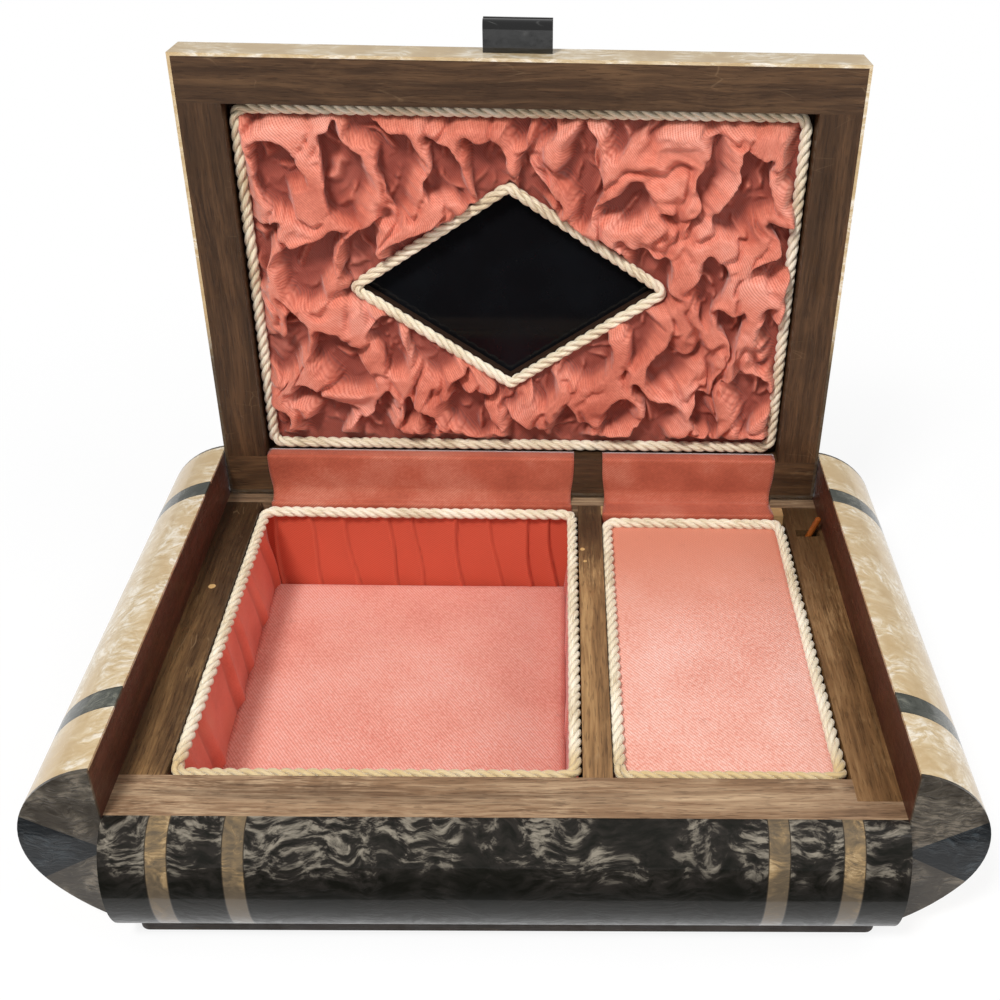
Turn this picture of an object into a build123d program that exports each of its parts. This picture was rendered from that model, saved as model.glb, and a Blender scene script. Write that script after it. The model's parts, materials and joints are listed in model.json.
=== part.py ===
from build123d import *
import math
import os

# A musical jewelry box: a walnut case between two rounded wings, a front roll, both faced with
# pearl celluloid, a mirrored lid on two small hinges, and an 18 note movement under a padded cover.
# Millimetres. X runs across the front, Y from front to back, Z up.
# The origin is the centre of the base board's underside. The lid stands open, as at rest.

# Case
inner_width = 215.0          # between the two wings' inner walls
case_depth = 156.0           # front wall's front face to back wall's back face
rail_top = 44.0              # height of the walls' top edges
front_wall_thick = 14.6
side_wall_thick = 12.5
back_wall_thick = 7.0
movement_room = 66.5         # width of the room over the movement
divider_thick = 8.3
side_wall_inlet = 8.1        # the right wall is let into the front wall by this much

# Base board
base_thick = 5.3
base_side_inset = 3.0        # inside the wings' inner walls
base_lip = 3.0               # the base stands this far out of the case's front
base_corner = 3.0
base_foot_chamfer = 0.6

# Screws and nails
base_screw_radius = 1.6
base_screw_head = 3.4
base_screw_length = 22.0
base_screw_from_side = 7.5   # from the case's sides
base_screw_insets = (8.0, 4.0)    # from the case's front and back
plate_screw_radius = 1.25
plate_screw_head = 2.6
plate_screw_inset = 4.0
plate_screw_short = 0.5      # its tip under the bedplate's top
screw_slot = (0.6, 0.6)      # width and depth
screw_head_sunk = 0.2
nail_radius = 0.45
nail_head_radius = 0.9
nail_head_thick = 0.5
nail_length = 6.0
nail_spacing = 9.0

# Celluloid sheet
sheet = 1.0

# Wings
wing_width = 23.0
wing_rise = 18.6             # wing above the rails
wing_overhang = 2.0          # wing past the case at the front and at the back
wing_band_width = 8.0
wing_band_share = 0.325      # from the wing's middle to a band's middle, as a share of its length
cap_seams = (0.48, 0.72, 0.246)   # as shares of the wing's height: where the cap's seams meet at
                                  # the inner edge, and where they reach the wing's full width
cap_seam_past = 1.2          # the seams are drawn on past that width

# Front roll
roll_bulge = 12.3
roll_band_width = 6.0
roll_band_insets = (35.3, 15.2)   # from the case's sides to a band's middle

# Lid
lid_lip = 2.6                # the closed lid stands this far out over the front roll
lid_gap = 0.5                # between the closed lid and the rails
lid_side_gap = 0.5
lid_frame_depth = 12.5
lid_rail = 15.0
lid_edge_round = 4.0
lid_rebate = 0.5             # the recess is wider than the rails leave it by this much each side
hinge_back = 1.0             # the hinge axis lies this far behind the lid's back edge
hinge_over_rail = 0.7        # and this far over the rails
hinge_inset = 2.6            # hinge axis in front of the case's back face
open_angle = 91.87           # leaning back a little past upright

# Lid lining
mat_thick = 2.5
mat_gap = 0.3
mirror_thick = 2.0
mirror_margin = 5.8          # the glass reaches this far past the middle of the cord round it
diamond_offset = (-4.6, -0.5)     # from the lid's middle to the diamond's
diamond_share = (0.575, 0.565)    # half the diamond, as shares of half the lid's recess
lid_cord_back_gap = 0.9           # behind the lid's cord, for the ribbons' ends
lining_gap = 0.05                 # between the mat, and the cord and satin on it
mirror_cord_corner = 4.0
satin_gap = 0.9                   # between the satin and the cord round it
satin_hole_gap = 0.4              # and round the mirror's cord
satin_thick = 1.6                 # at its tucks
puff_height = 3.4
puff_columns = 8
puff_rows = 6
puff_cells = 4                    # facets along a puff
puff_swell = 0.55                 # under 1: puffs rise steeply from a tuck and flatten out

# Handle
handle_width = 21.5
handle_reach = 9.5
handle_thick = 8.5
handle_centre = -1.35
handle_drop = 2.6            # under the lid's outer face
handle_round = 2.6
handle_groove_radius = 1.2

# Cord trim
cord_radius = 1.95
cord_clearance = 0.1
cord_sink = 1.9              # middle of the cord under the rails
cord_corner = 4.5

# Lining and pads
lining_clearance = 0.2
lining_top_inset = 2.4
lining_bottom_inset = 5.4
pleat_depth = 1.1
pleat_pitch = 12.5
floor_height = 11.0          # top of the floor pad in its middle, without its crown
floor_crown = 1.4
floor_pad_edge = 0.6         # the pad's flat rim lies this far under that height
floor_pad_clearance = 0.3
floor_pad_margins = (1.5, 2.5)    # crown to lining: at the front and sides, and at the back
floor_pad_corner = 4.0
cover_board_thick = 3.0
cover_crown = 0.9
cover_pad_rise = 1.0
cover_pad_corner = 3.0
cover_pad_margin = 0.6
batten = (6.0, 8.0)          # width and height
cord_over_lining = 0.2
cover_drop = 8.0             # underside of the movement's cover under the rails
cover_back_strip = 5.0       # wooden strip behind the movement's cover
ribbon_room = 1.1            # left behind the lining and the cover for the ribbons' ends

# Hinges
hinge_from_side = 47.5       # from the case's side to the middle of a hinge
hinge_length = 26.0
knuckle_radius = 1.5
hinge_pin_radius = 0.7
hinge_clearance = 0.05
leaf_thick = 0.8
leaf_width = 2.8
knuckle_gap = 0.2
knuckle_room = 0.3           # round the knuckles, in the rail and in the lid
hinge_room = 0.3             # past each end of a hinge

# Ribbons over the hinge gap
ribbon_thick = 0.5
ribbon_lift = 0.45           # middle of the ribbon over the wood
ribbon_hinge_gap = (1.2, 2.6)     # where it leaves the lid, and where it meets the back wall
ribbon_tuck = 5.0            # behind the lid's cord
ribbon_tail = 6.5            # down behind the lining
ribbon_tail_gap = 0.6
ribbon_insets = (0.5, 1.7, 0.3, 1.0)     # from the lid's stiles and the divider, left to right

# Movement
movement_board_thick = 5.0
movement_inset = 31.0        # from the right wall to the spring barrel's and the cylinder's axis
barrel_from_front = 16.0     # from the plate's front edge
recess_radius = 15.0
plate_sides = (24.0, 20.0)   # from that axis to the plate's left and right edges
plate_length = 58.0
plate_from_back = 14.0       # from the back wall
plate_thick = 3.0
plate_corner = 2.5
comb_seat = (0.6, 5.8)       # from the plate's left edge
comb_seat_overhang = 0.4     # past the cylinder at each end
comb_screw_inset = 3.2
comb_screw_spacing = 6.8
comb_screw_radius = 0.8
comb_screw_head = 1.5
comb_screw_head_high = 1.1
comb_screw_deep = 5.0
comb_margin = 0.3            # from the cylinder's end to the first note
comb_slot = 0.2
comb_root = (5.6, 9.2)       # back edge to the teeth's roots, bass to treble
lead_count = 7
lead_length = (4.2, 1.5)     # longest and shortest lead, under the bass teeth
lead_thick = 1.1
lead_setback = 1.2
cylinder_height = 14.7       # cylinder axis over the bedplate
cylinder_radius = 6.5
cylinder_ends = (28.8, 47.8)      # from the plate's front edge
note_count = 18
pins_per_note = 6
pin_height = 0.45
pin_width = 0.36
pin_steps = (97, 61, 7)      # degrees: note to note, beat to beat, and how the beats spread out
comb_clearance = 0.15
comb_thick = 0.8
barrel_radius = 11.0
barrel_lift = 0.4
barrel_round = 0.8
crown_tooth = (0.96, 0.4)    # width of a crown tooth at its root and at its tip
crown_tip = 0.75             # its height over the pitch line, in modules
crown_reach = 1.4            # from the pitch circle in to the teeth's inner ends
arbor_radius = 1.6
arbor_foot = 3.5
arbor_rise = 1.2             # over the crown teeth's pitch line
key_hub_radius = 3.0
key_hub = (2.4, 9.6)
key_middle = 4.9
key_thick = 1.4
key_wing = (4.6, 3.7)        # half width and half height of a wing
key_wing_offset = 5.3
key_hole_radius = 1.5
key_hole_offset = 6.0
shaft_radius = 1.0
thin_shaft_radius = 0.6
spindle_radius = 0.5
running_clearance = 0.05

# Gear train
crown_teeth = 36
crown_pinion_teeth = 12
crown_module = 1.6 / 3.0
great_teeth = 36
great_pinion_teeth = 10
fine_module = 0.4
worm_wheel_teeth = 24
worm_radius = 1.2            # pitch radius
mesh_clearance = 0.06
crown_pinion_thick = 1.8
shaft_end = 1.0              # past the pinion at the front and the cheek behind
great_wheel_gap = 0.4        # behind the cylinder
great_wheel_thick = 1.0
fine_pinion_gap = 0.1
fine_pinion_thick = 1.6
worm_wheel_thick = 1.2
worm_offset = 0.15           # the worm behind the middle between the cheeks
worm_core_radius = 0.85
spindle_gap = 0.3            # under the spindle's foot
fly_radius = 4.5
fly_lift = 1.6               # vanes over the bedplate
fly_height = 6.5
vane_thick = 0.6
fly_hub_radius = 1.0
fly_hub_past = 0.5           # past the vanes at each end
worm_length = 5.2
bridge_width = 8.0
bridge_thick = 1.2
bridge_foot = (14.0, 2.0)
governor_rise = 7.2          # top of its frame over the cylinder's axis
governor_top_thick = 1.6
governor_cheeks = (2.2, 8.2)      # front faces of the two cheeks, behind the cylinder
governor_arm = 2.6           # past the air brake's spindle
governor_top_past = 1.0      # the top bridge starts this far left of the worm wheel's shaft

# Stop peg
peg_radius = 1.1
peg_foot = 17.0              # its foot over the movement's plate
peg_lean = 20.0
peg_insets = (2.1, 16.0)     # its tip from the wing's wall and from the back wall
peg_rise = 6.9               # its tip over the rails
peg_slot_insets = (9.2, 1.3) # the slot's ends from the wing's wall
peg_slot_width = 4.0
peg_travel = 7.1
wire_radius = 0.6
wire_gap = 0.35              # between the wire and the air brake
wire_drop = 5.5
wire_bend = 2.0
wire_from_foot = 1.6
peg_shaft_floor = 27.0       # the channel opens into the chamber this far under the rails
peg_shaft_roof = 9.4

# Places that follow from the sizes above
half_inner = inner_width / 2
base_depth = case_depth + base_lip + sheet
case_front = -base_depth / 2 + base_lip
case_back = case_front + case_depth
room_front = case_front + front_wall_thick
room_back = case_back - back_wall_thick
room_left = -half_inner + side_wall_thick
room_right = half_inner - side_wall_thick
divider_right = room_right - movement_room
divider_left = divider_right - divider_thick
cover_back = room_back - cover_back_strip
wing_front = case_front - wing_overhang
wing_back = case_back + wing_overhang
wing_middle = (wing_front + wing_back) / 2
wing_top = rail_top + wing_rise
hinge_y = case_back - hinge_inset
hinge_z = rail_top + hinge_over_rail
lid_half = half_inner - lid_side_gap
lid_back = hinge_y - hinge_back
lid_front = case_front - lid_lip
lid_under = rail_top + lid_gap
lid_top = wing_top
lid_recess_front = lid_front + lid_rail
lid_recess_back = lid_back - lid_rail
lid_recess_half = lid_half - lid_rail + lid_rebate
diamond_x = diamond_offset[0]
diamond_y = (lid_front + lid_back) / 2 + diamond_offset[1]
diamond_half = (diamond_share[0] * lid_recess_half,
                diamond_share[1] * (lid_recess_back - lid_recess_front) / 2)
lid_board_under = lid_under + lid_frame_depth
mat_top = lid_board_under - mirror_thick
mat_under = mat_top - mat_thick
movement_x = room_right - movement_inset
plate_x = (movement_x - plate_sides[0], movement_x + plate_sides[1])
plate_y = (room_back - plate_from_back - plate_length, room_back - plate_from_back)
barrel_y = plate_y[0] + barrel_from_front
cylinder_y = (plate_y[0] + cylinder_ends[0], plate_y[0] + cylinder_ends[1])
board_top = base_thick + movement_board_thick
plate_top = board_top + plate_thick
axis_z = plate_top + cylinder_height
crown_pitch_z = axis_z - crown_module * crown_pinion_teeth / 2
great_radius = fine_module * great_teeth / 2
small_radius = fine_module * great_pinion_teeth / 2
governor_x = movement_x + great_radius + small_radius + mesh_clearance
worm_x = governor_x + fine_module * worm_wheel_teeth / 2 + worm_radius + mesh_clearance
cheek_middle = (governor_cheeks[0] + governor_cheeks[1] + bridge_thick) / 2
worm_y = cylinder_y[1] + cheek_middle + worm_offset
cord_line = rail_top - cord_sink
cord_edge = cord_radius + cord_clearance
lining_top = cord_line - cord_radius - cord_over_lining
cover_under = rail_top - cover_drop
hinge_places = (-half_inner + hinge_from_side, half_inner - hinge_from_side)
peg_top = (half_inner - peg_insets[0], room_back - peg_insets[1], rail_top + peg_rise)
peg_length = (peg_top[2] - plate_top - peg_foot) / math.cos(math.radians(peg_lean))
knuckle_front = hinge_y - knuckle_radius - knuckle_room
leaf_front = knuckle_front - leaf_width

# Shapes that many pieces share


def block(x, y, z):
    """A box from three pairs of limits."""
    size = Box(x[1] - x[0], y[1] - y[0], z[1] - z[0])
    return Pos((x[0] + x[1]) / 2, (y[0] + y[1]) / 2, (z[0] + z[1]) / 2) * size


def along_y(face, y0, y1):
    """A face drawn in X and Z, carried from y0 to y1."""
    return extrude(Plane.XZ.offset(-y0) * face, -(y1 - y0))


def along_x(face, x0, x1):
    """A face drawn in Y and Z, carried from x0 to x1."""
    return extrude(Plane.YZ.offset(x0) * face, x1 - x0)


def polygon(points):
    """A flat face through the given corners."""
    return make_face(Polyline(*points, close=True))


def rod(x, y, z, radius, axis):
    """A round bar along one axis: the pair of limits is on that axis."""
    if axis == "x":
        return along_x(Pos(y, z) * Circle(radius), x[0], x[1])
    if axis == "y":
        return along_y(Pos(x, z) * Circle(radius), y[0], y[1])
    return extrude(Pos(x, y, z[0]) * Circle(radius), z[1] - z[0])


def open_lid(shape):
    """Turns a piece of the closed lid about the hinge axis to where it stands at rest."""
    return shape.rotate(Axis((0, hinge_y, hinge_z), (1, 0, 0)), -open_angle)


def cord_loop(corners, height, corner_radius):
    """A closed round cord through the corners of a flat outline."""
    path = FilletPolyline(*[(x, y, height) for x, y in corners], radius=corner_radius, close=True)
    start = path @ 0
    section = Plane(origin=start, z_dir=path % 0) * Circle(cord_radius)
    return sweep(section, path=path)


def pillow(x, y, under, edge, crown, corner):
    """A pad with a flat underside, rounded corners and a domed top, which is at edge in its corners."""
    mid_x = (x[0] + x[1]) / 2
    mid_y = (y[0] + y[1]) / 2
    reach = math.hypot(x[1] - x[0], y[1] - y[0]) / 2
    dome_radius = (reach ** 2 + crown ** 2) / (2 * crown)
    plan = Pos(mid_x, mid_y, under) * RectangleRounded(x[1] - x[0], y[1] - y[0], corner)
    dome = Pos(mid_x, mid_y, edge + crown - dome_radius) * Rot(90, 0, 0) * Sphere(dome_radius)
    return extrude(plan, edge + crown + 1 - under) & dome


def strip(points, thick):
    """A thin strip's section: a broken line given a thickness, mitred at its corners."""
    left = []
    right = []
    for index, point in enumerate(points):
        before = points[max(index - 1, 0)]
        after = points[min(index + 1, len(points) - 1)]
        ways = []
        for a, b in ((before, point), (point, after)):
            length = math.dist(a, b)
            if length > 0:
                ways.append(((b[0] - a[0]) / length, (b[1] - a[1]) / length))
        normals = [(-way[1], way[0]) for way in ways]
        sum_x = sum(normal[0] for normal in normals)
        sum_y = sum(normal[1] for normal in normals)
        size = math.hypot(sum_x, sum_y)
        unit = (sum_x / size, sum_y / size)
        reach = thick / 2 / (unit[0] * normals[0][0] + unit[1] * normals[0][1])
        left.append((point[0] + unit[0] * reach, point[1] + unit[1] * reach))
        right.append((point[0] - unit[0] * reach, point[1] - unit[1] * reach))
    return polygon(left + right[::-1])


# Base and walls


def screw(x, y, depth, radius, head_radius):
    """A countersunk wood screw driven up from the underside, with its slot."""
    head_height = head_radius - radius
    slot_width, slot_depth = screw_slot
    body = rod(x, y, (head_height, depth), radius, "z")
    body += Pos(x, y, screw_head_sunk + head_height / 2) * Cone(head_radius, radius, head_height)
    slot = block((x - head_radius, x + head_radius), (y - slot_width / 2, y + slot_width / 2),
                 (0, screw_head_sunk + slot_depth))
    return body - slot


def base_screw_places():
    front, back = base_screw_insets
    side = half_inner - base_screw_from_side
    return [(x, y) for x in (-side, side)
            for y in (case_front + front, case_back - back)]


def base_screws():
    return [screw(x, y, base_screw_length, base_screw_radius, base_screw_head)
            for x, y in base_screw_places()]


def plate_screw_places():
    """Two at the plate's front corners and one at its back, clear of the barrel and the comb."""
    inset = plate_screw_inset
    front = plate_y[0] + inset
    return [(plate_x[0] + inset, front), (plate_x[1] - inset, front),
            (movement_x - inset, plate_y[1] - inset)]


def plate_screws():
    length = plate_top - plate_screw_short
    return [screw(x, y, length, plate_screw_radius, plate_screw_head) for x, y in plate_screw_places()]


def base_board():
    half = half_inner - base_side_inset
    shape = block((-half, half), (-base_depth / 2, base_depth / 2), (0, base_thick))
    shape = fillet(shape.edges().filter_by(Axis.Z), base_corner)
    foot = shape.faces().sort_by(Axis.Z)[0]
    shape = chamfer(foot.outer_wire().edges(), base_foot_chamfer)
    shape -= rod(movement_x, barrel_y, (-1, base_thick + 1), recess_radius, "z")
    for piece in base_screws() + plate_screws():
        shape -= piece
    return shape


def front_wall():
    shape = block((-half_inner, half_inner), (case_front, room_front), (base_thick, rail_top))
    shape -= block((room_right, half_inner + 1), (room_front - side_wall_inlet, room_front + 1),
                   (0, rail_top + 1))
    return less_screws(shape)


def less_screws(shape):
    """Takes the base screws' shanks out of a wall."""
    for piece in base_screws():
        shape -= piece
    return shape


def left_wall():
    return block((-half_inner, room_left), (room_front, room_back), (base_thick, rail_top))


def peg_channel():
    """The oval hole in the right wall's top, which slopes down into the movement's chamber."""
    low, high = [half_inner - inset for inset in peg_slot_insets]
    width = peg_slot_width
    inside = room_right - 1
    floor = rail_top - peg_shaft_floor
    outline = polygon([(low, rail_top + 1), (high, rail_top + 1), (high, rail_top - 3),
                       (room_right + 2.5, floor), (inside, floor), (inside, rail_top - peg_shaft_roof)])
    y = peg_top[1]
    shape = along_y(outline, y - width / 2, y + width / 2)
    upright = [edge for edge in shape.edges().filter_by(Axis.Z) if edge.center().X > high - 1]
    return fillet(upright, width / 2 - 0.3)


def right_wall():
    shape = block((room_right, half_inner), (room_front - side_wall_inlet, room_back),
                  (base_thick, rail_top))
    return less_screws(shape - peg_channel())


def hinge_spaces():
    half = hinge_length / 2 + hinge_room
    return [(place - half, place + half) for place in hinge_places]


def back_wall():
    shape = block((-half_inner, half_inner), (room_back, case_back), (base_thick, rail_top))
    shape = less_screws(shape)
    return less_hinge_seats(shape)


def less_hinge_seats(shape):
    """Lets the leaf and the knuckles into the top of the back wall."""
    trough_floor = hinge_z - knuckle_radius - knuckle_room
    for x in hinge_spaces():
        shape -= block(x, (knuckle_front, case_back + 3), (trough_floor, rail_top + 1))
        shape -= block(x, (leaf_front, hinge_y), (rail_top - leaf_thick, rail_top + 1))
    for x, y in hinge_nail_places():
        shape -= case_nail(x, y)
    return shape


def divider():
    return block((divider_left, divider_right), (room_front, room_back), (base_thick, rail_top))


def back_sheet():
    shape = block((-half_inner, half_inner), (case_back, case_back + sheet), (base_thick, rail_top))
    trough_floor = hinge_z - knuckle_radius - knuckle_room
    for x in hinge_spaces():
        shape -= block(x, (case_back - 1, case_back + 3), (trough_floor, rail_top + 1))
    return shape


# Wings

# The wing's outline, as shares of its width and height: where the round shoulder starts, is
# widest and ends, and the foot of the flatter underside.
wing_shares = ((0.0, 1.0), (1.0, 0.53), (0.80, 0.263), (0.15, 0.0))


def wing_face(inset):
    width = wing_width - inset
    low = base_thick + inset
    high = wing_top - inset
    start, widest, end, foot = [(half_inner + a * width, low + b * (high - low)) for a, b in wing_shares]
    shoulder = ThreePointArc(start, widest, end)
    underside = TangentArc(end, foot, tangent=shoulder % 1)
    inner = Polyline(foot, (half_inner, low), start)
    return make_face(shoulder + underside + inner)


def both_sides(right_pieces):
    return right_pieces + [mirror(piece, Plane.YZ) for piece in right_pieces]


def wing_length():
    return wing_front + sheet, wing_back - sheet


def wing_core():
    low, high = wing_length()
    return along_y(wing_face(sheet), low, high)


def wing_cover(y0, y1):
    return along_y(wing_face(0) - wing_face(sheet), y0, y1)


def wing_band_limits():
    half = wing_band_width / 2
    offset = wing_band_share * (wing_back - wing_front)
    centres = (wing_middle - offset, wing_middle + offset)
    return [(centre - half, centre + half) for centre in centres]


def wing_sheets():
    low, high = wing_length()
    (a, b), (c, d) = wing_band_limits()
    return [wing_cover(low, a), wing_cover(b, c), wing_cover(d, high)]


def wing_bands():
    return [wing_cover(a, b) for a, b in wing_band_limits()]


def cap_wedge():
    """The middle wedge of an end cap, between the two seams."""
    full = half_inner + wing_width * cap_seam_past
    apex, upper, lower = [base_thick + share * (wing_top - base_thick) for share in cap_seams]
    return polygon([(half_inner, apex), (full, apex + (upper - apex) * cap_seam_past),
                    (full, apex + (lower - apex) * cap_seam_past)])


def wing_ends():
    return ((wing_front, wing_front + sheet), (wing_back - sheet, wing_back))


def dark_cap_pieces():
    return [along_y(wing_face(0) & cap_wedge(), a, b) for a, b in wing_ends()]


def pale_cap_pieces():
    pieces = []
    for a, b in wing_ends():
        pieces += along_y(wing_face(0) - cap_wedge(), a, b).solids()
    return pieces


# Front roll


def roll_face(inset):
    middle = (base_thick + rail_top) / 2
    half_height = (rail_top - base_thick) / 2 - inset
    curve = EllipticalCenterArc((case_front, middle), roll_bulge - inset, half_height,
                                start_angle=90, arc_size=180)
    chord = Line((case_front, middle - half_height), (case_front, middle + half_height))
    return make_face(curve + chord)


def roll_core():
    return along_x(roll_face(sheet), -half_inner, half_inner)


def roll_cover(x0, x1):
    return along_x(roll_face(0) - roll_face(sheet), x0, x1)


def roll_band_limits():
    half = roll_band_width / 2
    centres = sorted([side * (half_inner - inset) for side in (-1, 1) for inset in roll_band_insets])
    return [(centre - half, centre + half) for centre in centres]


def roll_bands():
    return [roll_cover(a, b) for a, b in roll_band_limits()]


def roll_sheets():
    cuts = [-half_inner]
    for a, b in roll_band_limits():
        cuts += [a, b]
    cuts.append(half_inner)
    return [roll_cover(a, b) for a, b in zip(cuts[0::2], cuts[1::2])]


# Left compartment


def pleated_outline(x, y, inset):
    """The lining's inner outline, with a shallow pleat every few millimetres."""
    corners = [(x[0] + inset, y[0] + inset), (x[1] - inset, y[0] + inset),
               (x[1] - inset, y[1] - inset), (x[0] + inset, y[1] - inset)]
    points = []
    for side in range(4):
        a = corners[side]
        b = corners[(side + 1) % 4]
        length = math.dist((x[0], y[0]), (x[1], y[0])) if side % 2 == 0 else y[1] - y[0]
        pleats = round(length / pleat_pitch)
        way = (b[0] - a[0], b[1] - a[1])
        inward = (-way[1] / math.hypot(*way), way[0] / math.hypot(*way))
        for step in range(2 * pleats):
            share = step / (2 * pleats)
            lift = pleat_depth if step % 2 else 0
            points.append((a[0] + way[0] * share + inward[0] * lift,
                           a[1] + way[1] * share + inward[1] * lift))
    return points


def wall_lining():
    gap = lining_clearance
    x = (room_left + gap, divider_left - gap)
    y = (room_front + gap, room_back - ribbon_room)
    low = floor_height + floor_pad_clearance
    high = lining_top
    shape = block(x, y, (low, high))
    top = Pos(0, 0, high + 0.1) * polygon(pleated_outline(x, y, lining_top_inset))
    bottom = Pos(0, 0, low - 0.1) * polygon(pleated_outline(x, y, lining_bottom_inset))
    return shape - loft([bottom, top], ruled=True)


def floor_pad():
    gap = floor_pad_clearance
    x = (room_left + gap, divider_left - gap)
    y = (room_front + gap, room_back - gap)
    rim = floor_height - floor_pad_edge
    near, far = [lining_bottom_inset + margin for margin in floor_pad_margins]
    slab = block(x, y, (base_thick, rim))
    return slab + pillow((x[0] + near, x[1] - near), (y[0] + near, y[1] - far), base_thick, rim,
                         floor_crown, floor_pad_corner)


# Cover over the movement


def cover_battens():
    """The strips that carry the movement's cover. The back one stands up to the rails."""
    wide, high = batten
    x = (divider_right, room_right)
    low = cover_under - high
    front = block(x, (room_front, room_front + wide), (low, cover_under))
    back = block(x, (cover_back, room_back), (low, rail_top))
    back += block(x, (cover_back - wide, cover_back), (low, cover_under))
    for ends in hinge_spaces():
        if ends[0] > divider_right:
            back -= block(ends, (leaf_front, hinge_y), (rail_top - leaf_thick, rail_top + 1))
    return [front, back]


def cover_board():
    gap = lining_clearance
    return block((divider_right + gap, room_right - gap), (room_front + gap, cover_back - ribbon_room),
                 (cover_under, cover_under + cover_board_thick))


def cover_pad():
    gap = lining_clearance
    low = cover_under + cover_board_thick
    x = (divider_right + gap, room_right - gap)
    y = (room_front + gap, cover_back - ribbon_room)
    inset = 2 * cord_radius + cover_pad_margin
    slab = block(x, y, (low, lining_top))
    return slab + pillow((x[0] + inset, x[1] - inset), (y[0] + inset, y[1] - inset - 1), low,
                         lining_top + cover_pad_rise, cover_crown, cover_pad_corner)


def case_cords():
    loops = []
    for x, y_back in (((room_left, divider_left), room_back - ribbon_room - lining_clearance),
                      ((divider_right, room_right), cover_back - ribbon_room)):
        x0 = x[0] + cord_edge
        x1 = x[1] - cord_edge
        y0 = room_front + cord_edge
        y1 = y_back - cord_radius
        loops.append(cord_loop([(x0, y0), (x1, y0), (x1, y1), (x0, y1)], cord_line, cord_corner))
    return loops


# Hinges


def hinge_nail_places():
    y = knuckle_front - leaf_width / 2
    return [(place + step * nail_spacing, y) for place in hinge_places for step in (-1, 0, 1)]


def case_nail(x, y):
    shank = rod(x, y, (rail_top - nail_length, rail_top), nail_radius, "z")
    return shank + rod(x, y, (rail_top - nail_head_thick, rail_top), nail_head_radius, "z")


def lid_nail(x, y):
    shank = rod(x, y, (lid_under, lid_under + nail_length), nail_radius, "z")
    return shank + rod(x, y, (lid_under, lid_under + nail_head_thick), nail_head_radius, "z")


def hinge_leaf(place, z, knuckles):
    """A leaf with its knuckles, bored for the pin."""
    half = hinge_length / 2
    leaf = block((place - half, place + half), (leaf_front, knuckle_front), z)
    for x0, x1 in knuckles:
        leaf += block((place + x0, place + x1), (knuckle_front, hinge_y), z)
        leaf += rod((place + x0, place + x1), hinge_y, hinge_z, knuckle_radius, "x")
    bore = rod((place - half - 1, place + half + 1), hinge_y, hinge_z,
               hinge_pin_radius + hinge_clearance, "x")
    return leaf - bore


def knuckle_limits():
    third = hinge_length / 6
    outer = [(-hinge_length / 2, -third - knuckle_gap), (third + knuckle_gap, hinge_length / 2)]
    return outer, [(-third, third)]


def hinge_case_leaves():
    outer, _ = knuckle_limits()
    leaves = []
    for place in hinge_places:
        leaf = hinge_leaf(place, (rail_top - leaf_thick, rail_top), outer)
        for x, y in hinge_nail_places():
            leaf -= case_nail(x, y)
        leaves.append(leaf)
    return leaves


def hinge_lid_leaves():
    _, middle = knuckle_limits()
    leaves = []
    for place in hinge_places:
        leaf = hinge_leaf(place, (lid_under, lid_under + leaf_thick), middle)
        for x, y in hinge_nail_places():
            leaf -= lid_nail(x, y)
        leaves.append(open_lid(leaf))
    return leaves


def hinge_pins():
    half = hinge_length / 2
    return [rod((place - half, place + half), hinge_y, hinge_z, hinge_pin_radius, "x")
            for place in hinge_places]


# Lid


def less_lid_hinges(shape):
    """Lets the leaf, its nails and the knuckles into the lid's back rail."""
    for x in hinge_spaces():
        shape -= rod(x, hinge_y, hinge_z, knuckle_radius + knuckle_room, "x")
        shape -= block(x, (leaf_front, hinge_y), (lid_under - 1, lid_under + leaf_thick))
    for x, y in hinge_nail_places():
        shape -= lid_nail(x, y)
    return shape


def lid_frame_z():
    return lid_under, lid_board_under


def lid_front_rail():
    x = (-lid_half + sheet, lid_half - sheet)
    return open_lid(block(x, (lid_front + sheet, lid_recess_front), lid_frame_z()))


def lid_back_rail():
    x = (-lid_half + sheet, lid_half - sheet)
    shape = block(x, (lid_recess_back, lid_back - sheet), lid_frame_z())
    return open_lid(less_lid_hinges(shape))


def lid_stiles():
    right = block((lid_recess_half, lid_half - sheet), (lid_recess_front, lid_recess_back), lid_frame_z())
    return [open_lid(piece) for piece in both_sides([right])]


def lid_board():
    x = (-lid_half + sheet, lid_half - sheet)
    shape = block(x, (lid_front + sheet, lid_back - sheet), (lid_board_under, lid_top - sheet))
    rims = shape.faces().sort_by(Axis.Z)[-1].edges()
    return open_lid(fillet(rims, lid_edge_round - sheet))


def lid_sheet():
    """The pearl sheet, formed over the lid's top and its four edges."""
    outer = block((-lid_half, lid_half), (lid_front, lid_back), (lid_under, lid_top))
    outer = fillet(outer.faces().sort_by(Axis.Z)[-1].edges(), lid_edge_round)
    inner = block((-lid_half + sheet, lid_half - sheet), (lid_front + sheet, lid_back - sheet),
                  (lid_under - 1, lid_top - sheet))
    inner = fillet(inner.faces().sort_by(Axis.Z)[-1].edges(), lid_edge_round - sheet)
    return open_lid(less_lid_hinges(outer - inner))


def lid_handle():
    high = lid_top - handle_drop
    low = high - handle_thick
    y = (lid_front - handle_reach, lid_front)
    x = (handle_centre - handle_width / 2, handle_centre + handle_width / 2)
    shape = block(x, y, (low, high))
    long_edges = shape.edges().filter_by(Axis.X).sort_by(Axis.Y)[:2]
    shape = fillet(long_edges, handle_round)
    groove = rod(x, y[0] - handle_groove_radius / 2, high - handle_thick / 2, handle_groove_radius, "x")
    return open_lid(shape - groove)


def diamond(half):
    return [(diamond_x - half[0], diamond_y), (diamond_x, diamond_y - half[1]),
            (diamond_x + half[0], diamond_y), (diamond_x, diamond_y + half[1])]


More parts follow.
